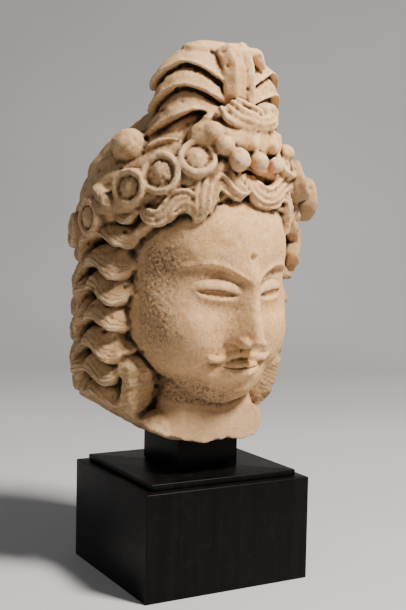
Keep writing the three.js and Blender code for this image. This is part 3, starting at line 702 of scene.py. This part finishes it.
# Angle, height, size and lift; the far side's discs stand prouder
ROSETTES = [
    (-33.3, 127.2, 0.98, 12), (-51.9, 110, 1.03, 12), (-67.6, 94.4, 0.95, 12), (-91, 61.4, 0.95, 12),
    (-110, 44, 0.9, 11),
    (33, 129, 0.98, 12), (50, 113, 1.05, 18), (66, 92, 1.15, 23), (89, 64, 1, 13), (110, 46, 0.95, 11),
]

PEARL_LIFT = 16

# Angle, height and radius
PEARLS = [
    (-17.9, 139.4, 9.4), (-9.8, 128.9, 10.4), (2.9, 128, 8.7), (16.4, 126, 7.6), (1.8, 143.5, 8),
    (17.4, 142.5, 7.6), (34.9, 137.3, 8), (31, 150, 6.5), (-9.4, 152.6, 6.7), (-16.9, 159.9, 6.7),
    (-24.6, 149.6, 10.4), (-18.9, 170.2, 6.3), (-27.1, 161, 6.7),
]


def pearl(angle, z, radius):
    """A ball a little longer upright than across, half sunk in the mound."""
    return set_on_hair(ball(36, 24)[0] * [radius, -1.06 * radius, radius], angle, z, PEARL_LIFT)


def pearl_mound():
    """The swelling over the forehead that carries the pearls."""
    return egg((52, 28, 25), (0, -50, 143))


def knotted_cloth():
    """The knotted cloth between the band's rosettes on the near side, as a short thick twist."""
    places = [[-94, 86, 2], [-89, 82, 6], [-82.4, 76.6, 7], [-76, 70, 4]]
    return hair_bar(places, strands(10, 10, 10, 2, 3, tip=0.6, start=0.6), 50)


def bud(side):
    """A bud over the ear: a ball with two grooves that wind round it from its top."""
    shape, turn, down = ball(120, 80)
    winding = np.angle(np.exp(1j * (turn - 2.6 * down)))
    groove = hump(np.sin(winding), 0, 0.11) * smooth(down, 0.1, 0.4) * (1 - smooth(down, 1.5, 1.9))
    radius = 17 * (1 - 0.15 * groove)
    return set_on_hair(radius[..., None] * shape * [1, -1, 1], side * 84, 129.5, 4)


def bud_leaves(side):
    """Two thin crescents of cloth that hold the bud, and the cloth's edge beside it."""
    strips = [
        (((96, 138), (99, 128), (97, 118), (91, 111)), 2, 3.4, 7),
        (((101, 140), (105, 127), (103, 113), (97, 102)), 0, 3.4, 5),
        (((70, 127), (64, 134), (56, 139), (46, 141)), 2, 2.6, 4.5),
    ]
    made = []
    for places, lift, half_width, height in strips:
        section = strands(half_width, height, 8, 1, 0, tip=0.5)
        made.append(hair_bar([[side * angle, z, lift] for angle, z in places], section, 40, 24))
    return made


# The topknot

def knot_point(angle, z, out):
    """The place on the topknot at an angle and a height, pushed outwards. It closes in to a dome."""
    turn = np.radians(angle)
    share = np.clip((z - KNOT_SHOULDER_Z) / KNOT_DOME_HEIGHT, 0, 0.98)
    scale = (1 - share**2.8) ** (1 / 2.8)
    return stacked(
        (KNOT_HALF_WIDTH * scale + out) * np.sin(turn),
        KNOT_CENTRE_Y - (KNOT_HALF_DEPTH * scale + out) * np.cos(turn),
        z,
    )


def layer_edge(angle, layer):
    """The lower edge of a layer: highest at its crest, falling gently towards the tie and straighter
    towards the ends of the fan."""
    away = np.abs(angle) - (LAYER_CREST_ANGLE - LAYER_CREST_SHIFT * layer**2)
    outwards = LAYER_FALL * (np.hypot(np.minimum(away, 60), 6) - 6)
    fall = np.where(away < 0, LAYER_TIE_FALL * away**2, outwards)
    return KNOT_TOP_Z - LAYER_TOP_HEIGHT - LAYER_HEIGHT * layer - fall


def topknot():
    """Layers that overlap downwards. Above its edge a layer slopes outwards to a rounded rim, and
    just under the edge of the one above it lies far back."""
    angle, share = ball_grid(340, 320)
    z = KNOT_TOP_Z - share * (KNOT_TOP_Z - KNOT_BASE_Z)
    out = np.full(z.shape, -LAYER_STEP / 2.0)
    for layer in range(LAYERS + 1):
        above = z - layer_edge(angle, layer)
        under = layer_edge(angle, layer - 1) - z
        slope = LAYER_STEP / 2 - LAYER_STEP * np.clip(above / LAYER_HEIGHT, 0, 1)
        rim = 1.3 * hump(above, 2.4, 2) - 4 * (1 - np.sqrt(1 - np.clip(1 - above / 2.4, 0, 1) ** 2))
        undercut = 5 * np.exp(-((under / 4.5) ** 2)) * smooth(np.abs(angle), 12, 24) if layer else 0
        out = np.where((above >= 0) & ((under > 0) | (layer == 0)), slope + rim - undercut, out)
    return closed_skin(knot_point(angle, z, out * smooth(share, 0, 0.06)))


def knot_end():
    """The end of the topknot's cloth, a low swelling on its top."""
    return egg((30, 20, 10), (-12, KNOT_CENTRE_Y, KNOT_TOP_Z - 4))


def knot_outward(points):
    """The way out of the front of the topknot."""
    x, z = points[..., 0], points[..., 2]
    return unit(stacked(x * 0.012, -1 + 0 * x, (z - KNOT_SHOULDER_Z) / 90))


def strap(t, turn):
    """The section of the strap: a slab with a sloping near side, and a groove along it."""
    across = np.clip(1.2 * np.cos(turn), -1, 1)
    up = np.sin(turn)
    slab = 9 * np.clip((across + 1) / 0.5, 0, 1) * np.clip((1 - across) / 0.16, 0, 1)
    outer = slab - 1.6 * hump(across, 0.28, 0.1) - 0.6 * hump(across, -0.2, 0.3)
    return 15.5 * across + 0 * t, np.where(up > 0, outer, up * 8) + 0 * t


def tie():
    """The strap up the middle, its cross bar at the top, and the knotted cords at its foot. Places are
    sideways, forward and up."""
    front = KNOT_CENTRE_Y - KNOT_HALF_DEPTH
    upright = [[1, front - 3, 166], [-1, front - 3, 186], [-3, front - 2, 204], [-4.8, front + 4, 219],
               [-5.5, front + 12, 227]]
    cross = [[-15, front + 4, 220], [2, front + 2, 224], [18, front + 3, 224], [30, front + 4, 213]]
    cords = [
        ([[-29, -60, 174], [-21.6, -66, 163.5], [-6, -68, 160], [9.6, -68, 159], [23.4, -66, 161],
          [31, -62, 166], [34, -58, 172]], 4),
        ([[-22, -60, 175], [-14, -66, 168], [-2.3, -69, 164.8], [13.6, -69, 163.5], [25.5, -66, 167],
          [28, -61, 173]], 3.3),
        ([[-16, -59, 179], [-8, -66, 172.5], [2.4, -68, 169.8], [13.7, -68, 168.2], [21, -65, 171],
          [23, -60, 176]], 3.1),
        ([[-10, -58, 181], [0, -64, 177.5], [9, -65, 175], [15, -64, 172]], 2.7),
        ([[16.7, -62, 172], [22, -61, 177.5], [29, -59, 178], [34, -58, 173], [35.5, -58, 166]], 3),
    ]
    made = [
        carved_bar(upright, knot_outward, strap, 90, 96),
        carved_bar(cross, knot_outward, strands(5, 6, 8, 1, 0, tip=0.5), 50),
    ]
    for cord, size in cords:
        made.append(carved_bar(cord, knot_outward, strands(size, 8, 9, 1, 0, tip=0.7, start=0.7), 70, 36))
    return made


# Places, meshes and cuts

def posed(points):
    """Points of the head's own frame, bowed, turned and lifted into place."""
    pose = (
        Matrix.Translation((0, HEAD_CENTRE_BACK, SEAT_Z + HEAD_CENTRE_ABOVE_SEAT))
        @ Matrix.Rotation(np.radians(HEAD_TURN), 4, "Z")
        @ Matrix.Rotation(np.radians(HEAD_BOW), 4, "X")
    )
    pose = np.array(pose)
    return points @ pose[:3, :3].T + pose[:3, 3]


def unposed(points):
    """The way back from places on the stand to the head's own frame."""
    zero = posed(np.zeros((1, 3)))[0]
    turn = posed(np.eye(3)) - zero
    return (points - zero) @ turn.T


def broken_away():
    """What the break took: all under the post's flat and, round it, all lower than 2 mm above it in
    front and more to the sides and back, where the rim rises. Rings run out from the middle, and
    ripples roughen them."""
    corner = (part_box("stand_post")[1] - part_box("stand_post")[0]) / MM
    half_width, half_depth = corner.x / 2 + 6, corner.y / 2 + 6
    angle = np.radians(np.linspace(-180, 180, 240, endpoint=False))[None, :]
    s, c = np.sin(angle), np.cos(angle)
    reach = np.linspace(0.02, 1, 20), np.linspace(1.01, 1.06, 4), np.linspace(1.1, 4, 90)
    reach = np.concatenate(reach)[:, None]
    out = reach * (s**8 + c**8) ** -0.125
    rim = 0.62 * half_width * np.maximum(0, reach - 1.05)
    lip = 2 * (reach > 1.005)
    top = rim + (lip - rim) * smooth(c, 0.5, 0.9)
    flat = stacked(half_width * out * s, -half_depth * out * c, SEAT_Z + top)
    rough = smooth(reach, 1.05, 1.3) * (ripple(flat, 40, 3) + 0.5 * ripple(flat, 11, 4))
    flat[..., 2] += rough
    below = flat[-1:] * [1, 1, 0]
    return closed_skin(np.concatenate([flat, below]))


def piece_of(name, skins):
    """An object at the origin that holds closed skins, given in millimetres, as one mesh."""
    offsets = np.cumsum([0] + [len(points) for points, _ in skins[:-1]])
    points = np.concatenate([points for points, _ in skins]) * MM
    faces = np.concatenate([faces + offset for (_, faces), offset in zip(skins, offsets)])
    mesh = bpy.data.meshes.new(name)
    mesh.from_pydata(points, [], faces, shade_flat=False)
    made = bpy.data.objects.new(name, mesh)
    bpy.context.scene.collection.objects.link(made)
    return made


def shaped(body, kind, **settings):
    """The body after a modifier, applied."""
    modifier = body.modifiers.new(kind, kind)
    for key, value in settings.items():
        setattr(modifier, key, value)
    made = bpy.data.meshes.new_from_object(body.evaluated_get(bpy.context.evaluated_depsgraph_get()))
    body.modifiers.clear()
    old, body.data = body.data, made
    bpy.data.meshes.remove(old)
    return body


def cut_away(body, skins):
    """The body without the room of some closed skins."""
    cutter = piece_of("cutter", skins)
    shaped(body, "BOOLEAN", operation="DIFFERENCE", solver="MANIFOLD", object=cutter)
    bpy.data.objects.remove(cutter)


def rows_of(items, field):
    """Three numbers of each of a mesh's items, as rows."""
    values = np.empty(len(items) * 3, np.float32)
    items.foreach_get(field, values)
    return values.reshape(-1, 3).astype(float)


def points_of(mesh):
    """A mesh's points in millimetres."""
    return rows_of(mesh.vertices, "co") / MM


# Where the face, crust, ochre, the painted shade under the chin and the darker far hair lie

def face_share(local):
    """1 on the bare face and neck, 0 on the hair, from places in the head's own frame."""
    reach = np.linalg.norm(local, axis=-1)
    smooth_face = egg_reach(unit(local))
    angle = np.degrees(np.arctan2(local[:, 0], HAIR_MIDDLE_BACK - local[:, 1]))
    z = local[:, 2]
    low = smooth(smooth_face + 5 - reach, 0, 3)
    inside = smooth(window_edge(z) + 4 - np.abs(angle), 0, 6)
    middle = smooth(46 - np.abs(angle), 0, 6) * smooth(z, CHIN_Z - 4, CHIN_Z) * (1 - smooth(z, 44, 52))
    under_chin = (1 - smooth(z, CHIN_Z, CHIN_Z + 12)) * (1 - smooth(np.abs(local[:, 0]), 50, 58))
    under_chin = under_chin * (1 - smooth(local[:, 1], -10, 20))
    return np.maximum(np.maximum(low * inside * smooth(z, CHIN_Z - 30, CHIN_Z), middle), under_chin)


def crust_share(local, face):
    """Where the granular brown crust lies: on the near temple and cheek's edge, along the jaw, and on
    a rosette and the knotted cloth."""
    x, y, z = local.T
    temple = hump(x, -72, 16) * hump(z, 30, 28)
    cheek_side = hump(x, -76, 13) * hump(z, -25, 34) * 0.8
    jaw = smooth(CHIN_Z + 26 + 0.25 * np.abs(x) - z, 0, 14) * smooth(z, CHIN_Z - 1, CHIN_Z + 5)
    spots = 0
    for angle, height, reach in ((-51.9, 110, 19), (-84, 77, 17)):
        away = np.linalg.norm(local - on_hair(angle, height, 12), axis=1)
        spots = spots + 0.5 * np.exp(-((away / reach) ** 4))
    return np.clip((temple + cheek_side + jaw * smooth(-x, -25, 10)) * face + spots, 0, 1)


def chin_shade_far_dark_share(local, face):
    """Where painted shade darkens the neck under the chin, and where the hair's far side is darker."""
    x, y, z = local.T
    neck = 1 - smooth(z, CHIN_Z - 8, CHIN_Z + 8)
    far = smooth(x, 40, 75) * (1 - face)
    return np.clip(neck * smooth(x, -75, -30) + 0.9 * far, 0, 1)


def ochre_share(local):
    """A spot of yellow ochre over the near eye."""
    return np.exp(-((np.linalg.norm(local - [-43, -84, 48], axis=1) / 8) ** 2))


# The head in one skin

def weathered(mesh):
    """Roughens the skin: broad lumps, worn hollows, and the granular crust on temple and jaw."""
    points, normals = points_of(mesh), rows_of(mesh.vertex_normals, "vector")
    local = unposed(points)
    face = face_share(local)
    crust = crust_share(local, face)
    lumps = 0.4 * ripple(points, 34, 11) * (1 - 0.5 * face)
    lumps = lumps + 0.22 * ripple(points, 12, 12) * (1 - 0.6 * face)
    grit = 0.1 * ripple(points, 4.5, 13) + crust * 0.24 * ripple(points, 3.8, 14)
    chips = -0.9 * np.maximum(0, ripple(points, 13, 15) - 1.4) * (1 - 0.7 * face)
    moved = points + normals * (lumps + grit + chips)[:, None]
    mesh.vertices.foreach_set("co", (moved * MM).astype(np.float32).ravel())
    mesh.update()


def head():
    """The whole head. Its closed skins grow into one, the break and nostrils are cut, the skin is
    drawn evenly again, weathered, and thinned where it is flat."""
    skins = [
        face_and_skull(), *nose_end(), *moustache(), hair_mass(), neck(),
        pearl_mound(), topknot(), knot_end(), *tie(), knotted_cloth(),
        *[forehead_lock(*lock) for lock in FOREHEAD_LOCKS],
        *[pearl(*place) for place in PEARLS],
        *[rosette(*place) for place in ROSETTES],
    ]
    for side in (-1, 1):
        skins += [band(side), bud(side), *bud_leaves(side), neck_root(side)]
    body = piece_of("stucco_head", [(posed(points), faces) for points, faces in skins])
    shaped(body, "REMESH", mode="VOXEL", voxel_size=SKIN_STEP * MM)
    cut_away(body, [broken_away()] + [(posed(points), faces) for points, faces in nostrils()])
    shaped(body, "REMESH", mode="VOXEL", voxel_size=SKIN_STEP * MM)
    shaped(body, "SMOOTH", factor=0.4, iterations=1)
    weathered(body.data)
    triangles = sum(len(p.vertices) - 2 for p in body.data.polygons)
    shaped(body, "DECIMATE", ratio=min(1, SKIN_TRIANGLES / triangles), use_collapse_triangulate=True)
    return body


# How deep each place lies

def grid_shares(places):
    """The eight grid points round each place, and their shares of it in proportion to nearness."""
    low = np.floor(places).astype(int)
    part = places - low
    for corner in np.ndindex(2, 2, 2):
        yield tuple((low + corner).T), np.prod(np.where(np.array(corner) == 1, part, 1 - part), -1)


def sampled(field, places):
    """A field on a grid, read between its points."""
    return sum(share * field[index] for index, share in grid_shares(places))


def spread(shape, places, amounts):
    """Amounts at places, shared out over the nearest points of a grid."""
    total = np.zeros(np.prod(shape))
    for index, share in grid_shares(places):
        total += np.bincount(np.ravel_multi_index(index, shape), share * amounts, len(total))
    return total.reshape(shape)


def hollows(mesh, reaches, cell=2.0):
    """For each reach, how enclosed each point lies: half on a flat face, less on an edge, more in a
    hollow. The solid's own field, 1 inside and 0 outside, is found from its skin alone: the skin's
    area normals are spread on a grid, and in Fourier space the field whose slope they are is
    i k.n / k². Blurring that field by a reach and reading it at the skin gives the share of solid
    round each point."""
    mesh.calc_loop_triangles()
    corners = np.empty(len(mesh.loop_triangles) * 3, np.int32)
    mesh.loop_triangles.foreach_get("vertices", corners)
    points = points_of(mesh)
    low = points.min(0) - 24 * cell
    shape = tuple(int(n) for n in 2 * np.ceil((points.max(0) + 24 * cell - low) / cell / 2))
    a, b, c = (points[corners.reshape(-1, 3)[:, k]] for k in range(3))
    area = np.cross(b - a, c - a) / 2 / cell**3
    places = ((a + b + c) / 3 - low) / cell
    turns = [np.fft.fftfreq(shape[0], cell), np.fft.fftfreq(shape[1], cell), np.fft.rfftfreq(shape[2], cell)]
    waves = np.meshgrid(*(2 * np.pi * turn for turn in turns), indexing="ij", sparse=True)
    squared = sum(wave**2 for wave in waves)
    squared[0, 0, 0] = 1
    spectra = [np.fft.rfftn(spread(shape, places, area[:, axis])) for axis in range(3)]
    slope = sum(1j * wave * spectrum for wave, spectrum in zip(waves, spectra))
    inside = slope / squared
    found = []
    for reach in reaches:
        field = np.fft.irfftn(inside * np.exp(-squared * reach**2 / 2), shape)
        field -= field[0, 0, 0]
        found.append(sampled(field, (points - low) / cell))
    return found


def keep_for_paint(mesh):
    """Keeps at each point the numbers that the stucco's material reads."""
    local = unposed(points_of(mesh))
    bare = face_share(local)
    kept = {
        "face": bare, "crust": crust_share(local, bare), "chin_shade_far_dark": chin_shade_far_dark_share(local, bare),
        "ochre": ochre_share(local), "near_side": smooth(-local[:, 0], -10, 70),
    }
    kept.update(zip(("hollow_fine", "hollow_middle", "hollow_broad"), hollows(mesh, (2.2, 5, 14))))
    kept.update(zip(("strand", "strand_share"), strand_lines(local)))
    kept.update(zip(("lid_line", "fold_line", "lip_line"), fine_lines(local)))
    for name, values in kept.items():
        mesh.attributes.new(name, "FLOAT", "POINT").data.foreach_set("value", values.astype(np.float32))


# The wooden stand

def wood_block(name, node, edge):
    """A block with softly rounded edges in the room of its node: rounded rectangles, drawn in along a
    quarter circle at the top and bottom."""
    low, high = (np.array(corner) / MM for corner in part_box(node))
    middle, half = (low + high) / 2, (high - low) / 2
    bend = np.radians(np.linspace(0, 90, 5))
    inset = edge * (1 - np.sin(np.concatenate([bend, bend[::-1]])))
    drawn = edge * (1 - np.cos(bend))
    level = np.concatenate([[-half[2]], -half[2] + drawn, half[2] - drawn[::-1], [half[2]]])
    corner_turn = np.concatenate([np.radians(np.linspace(0, 90, 7)) + k * np.pi / 2 for k in range(4)])
    corner_x = np.repeat([1, -1, -1, 1], 7) * (half[0] - edge)
    corner_y = np.repeat([1, 1, -1, -1], 7) * (half[1] - edge)
    ring = np.stack([corner_x + edge * np.cos(corner_turn), corner_y + edge * np.sin(corner_turn)], -1)
    shrink = 1 - inset[:, None, None] / half[:2]
    shrink = np.concatenate([0.02 * shrink[:1], shrink, 0.02 * shrink[:1]])
    rings = np.concatenate([ring * shrink, np.broadcast_to(level[:, None, None], (len(level), 28, 1))], -1)
    made = piece_of(name, [closed_skin(rings + middle)])
    bpy.context.view_layer.update()
    return made


# Materials

class Value:
    """A socket of a material, so that its maths reads as Python."""

    def __init__(self, paint, socket):
        self.paint, self.socket = paint, socket

    def maths(self, operation, *others):
        return self.paint.node("ShaderNodeMath", {"operation": operation}, dict(enumerate((self, *others))))

    def __add__(self, other):
        return self.maths("ADD", other)

    def __sub__(self, other):
        return self.maths("SUBTRACT", other)

    def __mul__(self, other):
        return self.maths("MULTIPLY", other)

    def __rsub__(self, other):
        return self.maths("MULTIPLY", -1) + other

    __radd__ = __add__
    __rmul__ = __mul__

    def ramp(self, low, high):
        """0 at low, 1 at high, straight between and held beyond."""
        inputs = {0: self, 1: low, 2: high, 3: 0, 4: 1}
        return self.paint.node("ShaderNodeMapRange", {"clamp": True}, inputs)


class Paint:
    """A material's nodes, made one by one."""

    def __init__(self, name):
        self.material = bpy.data.materials.new(name)
        self.material.use_nodes = True
        self.tree = self.material.node_tree
        self.shader = self.tree.nodes["Principled BSDF"]

    def node(self, kind, settings, inputs, output=0):
        made = self.tree.nodes.new(kind)
        for key, value in settings.items():
            setattr(made, key, value)
        for key, value in inputs.items():
            self.set(made.inputs[key], value)
        return Value(self, made.outputs[output])

    def set(self, socket, value):
        if isinstance(value, Value):
            self.tree.links.new(value.socket, socket)
        else:
            socket.default_value = value

    def place(self):
        return self.node("ShaderNodeTexCoord", {}, {}, "Object")

    def attribute(self, name):
        return self.node("ShaderNodeAttribute", {"attribute_name": name}, {}, "Fac")

    def noise(self, place, size, detail=4, roughness=0.6, distortion=0.0):
        """Cloudy variation between about 0.3 and 0.7, with blotches of that size in millimetres."""
        inputs = {"Vector": place, "Scale": 1000 / size, "Detail": detail, "Roughness": roughness,
                  "Distortion": distortion}
        return self.node("ShaderNodeTexNoise", {}, inputs, "Fac")

    def mix(self, share, colour, other):
        """One colour giving way to another, each a socket or its red, green and blue."""
        ends = [(*end, 1.0) if isinstance(end, tuple) else end for end in (colour, other)]
        return self.node("ShaderNodeMix", {"data_type": "RGBA"}, {0: share, 6: ends[0], 7: ends[1]}, 2)

    def bump(self, height, distance, strength=1.0):
        """The shading of a relief whose height is given as a share of a distance in millimetres."""
        inputs = {"Height": height, "Distance": distance * MM, "Strength": strength}
        return self.node("ShaderNodeBump", {}, inputs)

    def finish(self, **inputs):
        for key, value in inputs.items():
            self.set(self.shader.inputs[key.replace("_", " ")], value)
        return self.material


def stucco():
    """Warm buff lime stucco: brown grime and painted shade in the hollows, near black painted shade in the
    deepest, thin dark painted shade along the strands' grooves, the lids and the lips, pale chalky lime with
    a painted highlight on what stands out, a browner near hair that is partly patina and partly painted
    shade, painted shade on the near cheek and on the neck under the chin, a darker far hair, and a granular
    brown crust on temple and jaw."""
    paint = Paint("stucco")
    place = paint.place()
    fine, middle, broad = (paint.attribute("hollow_" + size) for size in ("fine", "middle", "broad"))
    face, crust, near = (paint.attribute(name) for name in ("face", "crust", "near_side"))
    chin_shade_far_dark, ochre = paint.attribute("chin_shade_far_dark"), paint.attribute("ochre")
    cloud = paint.noise(place, 60, 3, 0.6)
    blotch = paint.noise(place, 24, 5, 0.65)
    mottle = paint.noise(place, 7, 6, 0.7)
    fleck = paint.noise(place, 3.4, 3, 0.7)
    grain = paint.noise(place, 1.6, 5, 0.75)

    lid, lip, fold = (paint.attribute(name + "_line").maths("ABSOLUTE") for name in ("lid", "lip", "fold"))
    # Painted shade: thin dark lines along the lid's margin and the lips' parting, and fainter along the
    # lid's fold.
    line = ((0.9 - lid).ramp(0, 0.7) + (0.9 - lip).ramp(0, 0.7)).ramp(0, 1)
    fold = (0.8 - fold).ramp(0, 0.8)
    wander = paint.attribute("strand") + mottle * 0.8 + blotch * 1.6
    broken = mottle.ramp(0.36, 0.6) * paint.attribute("strand_share")
    # Painted shade: dark lines along the grooves between strands, where they show.
    furrow = (0.26 - wander.maths("PINGPONG", 0.5)).ramp(0, 0.26) * broken
    specks = paint.noise(place, 2.6, 3, 0.8).ramp(0.5, 0.62) * crust
    pits = paint.noise(place, 3.4, 2, 0.5).ramp(0.66, 0.72)

    # Painted shade on the side turned from the key light: the near hair browner, partly patina and partly
    # painted shade.
    near_hair_patina_and_shade = ((1 - face) * near * (mottle * 0.8 + 0.3)).ramp(0.1, 0.9)
    # Painted shade: the near cheek darker, on the side turned from the key light.
    near_cheek_shade = near.ramp(0.7, 1) * face * (mottle.ramp(0.3, 0.6) * 0.4 + 0.1)
    # Pale chalky lime on what stands out, partly worn lime and partly a painted highlight, weaker on the
    # face and on the near side.
    chalk_and_highlight = (0.465 - fine).ramp(0, 0.1) * 0.6 + (0.43 - middle).ramp(0, 0.16) * 0.2
    chalk_and_highlight = chalk_and_highlight * mottle.ramp(0.38, 0.62) * (1 - face * 0.6) * (1 - near * 0.4)
    # Brown grime in the hollows and painted shade there too, darker the more enclosed a place is.
    dirt_and_shade = (fine - 0.515).ramp(0, 0.11) * 0.6 + (middle - 0.53).ramp(0, 0.16) * 0.65
    dirt_and_shade = dirt_and_shade + (broad - 0.6).ramp(0, 0.2) * 0.5
    dirt_and_shade = dirt_and_shade * (mottle * 0.9 + 0.5) * (1 - face * 0.35)
    # Painted shade: near black in the deepest hollows.
    deep_shade = ((fine - 0.60).ramp(0, 0.13) + (middle - 0.64).ramp(0, 0.15)).ramp(0.1, 1.0)

    look = paint.mix(blotch.ramp(0.35, 0.66), BUFF_DARK, BUFF)
    for share, shade in (
        (mottle.ramp(0.45, 0.72) * 0.55, BUFF_PALE),
        (cloud.ramp(0.5, 0.7) * 0.4 + ochre * 0.6, OCHRE),
        (near_hair_patina_and_shade * 0.75, NEAR_HAIR_PATINA_SHADE),
        (near_cheek_shade, NEAR_CHEEK_SHADE),
        (chalk_and_highlight, CHALK_AND_HIGHLIGHT),
        (fleck.ramp(0.56, 0.68) * 0.5, FLECK_PALE),
        (chin_shade_far_dark * (mottle.ramp(0.3, 0.6) * 0.35 + 0.45), CHIN_SHADE_FAR_DARK),
        ((0.43 - fleck).ramp(0, 0.09) * 0.45, FLECK_BROWN),
        (furrow * 0.6, FURROW_SHADE),
        (dirt_and_shade.ramp(0, 0.85), DIRT_AND_SHADE),
        (deep_shade, DEEP_SHADE),
        (line * 0.85 + fold * 0.4, FINE_LINE_SHADE),
        (crust * (mottle.ramp(0.3, 0.6) * 0.5 + 0.15), CRUST),
        (specks * 0.75, CRUST_SPECK),
        (pits * 0.5, PIT),
    ):
        look = paint.mix(share, look, shade)
    relief = grain * 0.6 + mottle * 0.8 + fleck * 0.6 - pits * 0.5 + specks * 0.8 - furrow * 1.1
    relief = relief - line * 0.9 - fold * 0.6
    return paint.finish(
        Base_Color=look, Roughness=0.86, Specular_IOR_Level=0.28, Normal=paint.bump(relief, 1.1, 0.75),
    )


def black_wood():
    """Ebonised wood with a satin gloss, faint upright grain and fine dust."""
    paint = Paint("black_wood")
    place = paint.place()
    stretched = paint.node("ShaderNodeMapping", {}, {"Vector": place, "Scale": (1, 1, 0.045)})
    fibre = paint.noise(stretched, 1.7, 6, 0.7)
    figure = paint.noise(stretched, 9, 4, 0.6, 0.6)
    dust = paint.noise(place, 14, 5, 0.7)
    wood = paint.mix(figure.ramp(0.35, 0.7), (0.0014, 0.0012, 0.001), (0.004, 0.003, 0.0026))
    wood = paint.mix(fibre.ramp(0.5, 0.75) * 0.5, wood, (0.007, 0.0052, 0.0042))
    wood = paint.mix(dust.ramp(0.55, 0.8) * 0.08, wood, (0.08, 0.075, 0.07))
    return paint.finish(
        Base_Color=wood, Roughness=figure * 0.14 + dust * 0.16 + 0.27, Specular_IOR_Level=0.1,
        Normal=paint.bump(fibre, 0.1, 0.5),
    )


def studio_grey():
    """The plain pale paper of the floor and its backdrop."""
    paint = Paint("studio_paper")
    cloud = paint.noise(paint.place(), 600, 2, 0.4)
    grey = paint.mix(cloud.ramp(0.3, 0.7), (0.42, 0.42, 0.43), (0.46, 0.46, 0.47))
    return paint.finish(Base_Color=grey, Roughness=0.9, Specular_IOR_Level=0.1)


# The studio

def camera():
    """The camera, placed round its target by its angles."""
    azimuth, elevation = np.radians(CAMERA_AZIMUTH), np.radians(CAMERA_ELEVATION)
    toward = Vector((
        np.sin(azimuth) * np.cos(elevation), np.cos(azimuth) * np.cos(elevation), -np.sin(elevation),
    ))
    data = bpy.data.cameras.new("camera")
    data.lens, data.sensor_width = CAMERA_LENS, CAMERA_SENSOR
    made = bpy.data.objects.new("camera", data)
    made.location = (Vector(CAMERA_TARGET) - toward * CAMERA_DISTANCE) * MM
    made.rotation_mode = "QUATERNION"
    roll = Quaternion((0, 0, 1), np.radians(CAMERA_ROLL))
    made.rotation_quaternion = toward.to_track_quat("-Z", "Y") @ roll
    bpy.context.scene.collection.objects.link(made)
    bpy.context.scene.camera = made


def soft_light(name, place, target, size, power, tint=(1, 1, 1)):
    """A square soft light at a place, facing its target, in metres and watts."""
    data = bpy.data.lights.new(name, "AREA")
    data.size, data.energy, data.color = size, power, tint
    made = bpy.data.objects.new(name, data)
    made.location = place
    made.rotation_euler = (Vector(target) - Vector(place)).to_track_quat("-Z", "Y").to_euler()
    bpy.context.scene.collection.objects.link(made)


def floor():
    """A wide pale floor that curves up behind into a backdrop, as one sheet of paper does."""
    flat_to, radius, steepness = 1.6, 1.2, 2.2
    run = np.linspace(-4, 3, 60)
    bend = np.clip((run - flat_to) / radius, 0, np.pi / 2)
    back = np.minimum(run, flat_to) + radius * np.sin(bend)
    edge = np.stack([0 * run, back, radius * (1 - np.cos(bend)) * steepness], -1)
    turned = np.array(Matrix.Rotation(-np.radians(CAMERA_AZIMUTH), 3, "Z"))
    points = np.concatenate([(edge + [x, 0, 0]) @ turned.T for x in (-5, 5)])
    n = len(edge)
    faces = [(k, k + n, k + n + 1, k + 1) for k in range(n - 1)]
    mesh = bpy.data.meshes.new("studio_floor")
    mesh.from_pydata(points.tolist(), [], faces)
    made = bpy.data.objects.new("studio_floor", mesh)
    bpy.context.scene.collection.objects.link(made)
    mesh.materials.append(studio_grey())
    mesh.shade_smooth()


def lights():
    """A soft key from the upper right of the camera, a weak fill from the left, a weak light from
    behind, and a plain sky."""
    soft_light("key", (0.68, -1.25, 2.1), (0, 0, 0.3), size=0.5, power=165, tint=(1, 0.955, 0.89))
    soft_light("fill", (-1.6, -1.0, 0.7), (0, 0, 0.3), size=1.4, power=1.9, tint=(0.95, 0.97, 1))
    soft_light("rim", (-0.7, 1.1, 1.2), (0, 0, 0.35), size=0.6, power=4)
    world = bpy.data.worlds.new("studio")
    world.use_nodes = True
    sky = world.node_tree.nodes["Background"].inputs
    sky["Color"].default_value = (0.8, 0.82, 0.86, 1)
    sky["Strength"].default_value = 0.1
    bpy.context.scene.world = world


# The making

camera()
body = head()
mesh = body.data
keep_for_paint(mesh)
mesh.materials.clear()
mesh.materials.append(stucco())
mesh.shade_smooth()
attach(body, "root")
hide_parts("head")

wood = black_wood()
for name in ("stand_block", "stand_plate", "stand_post"):
    block = wood_block("wooden_" + name, name, edge=0.8)
    block.data.materials.append(wood)
    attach(block, "root")
    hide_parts(name)

floor()
lights()
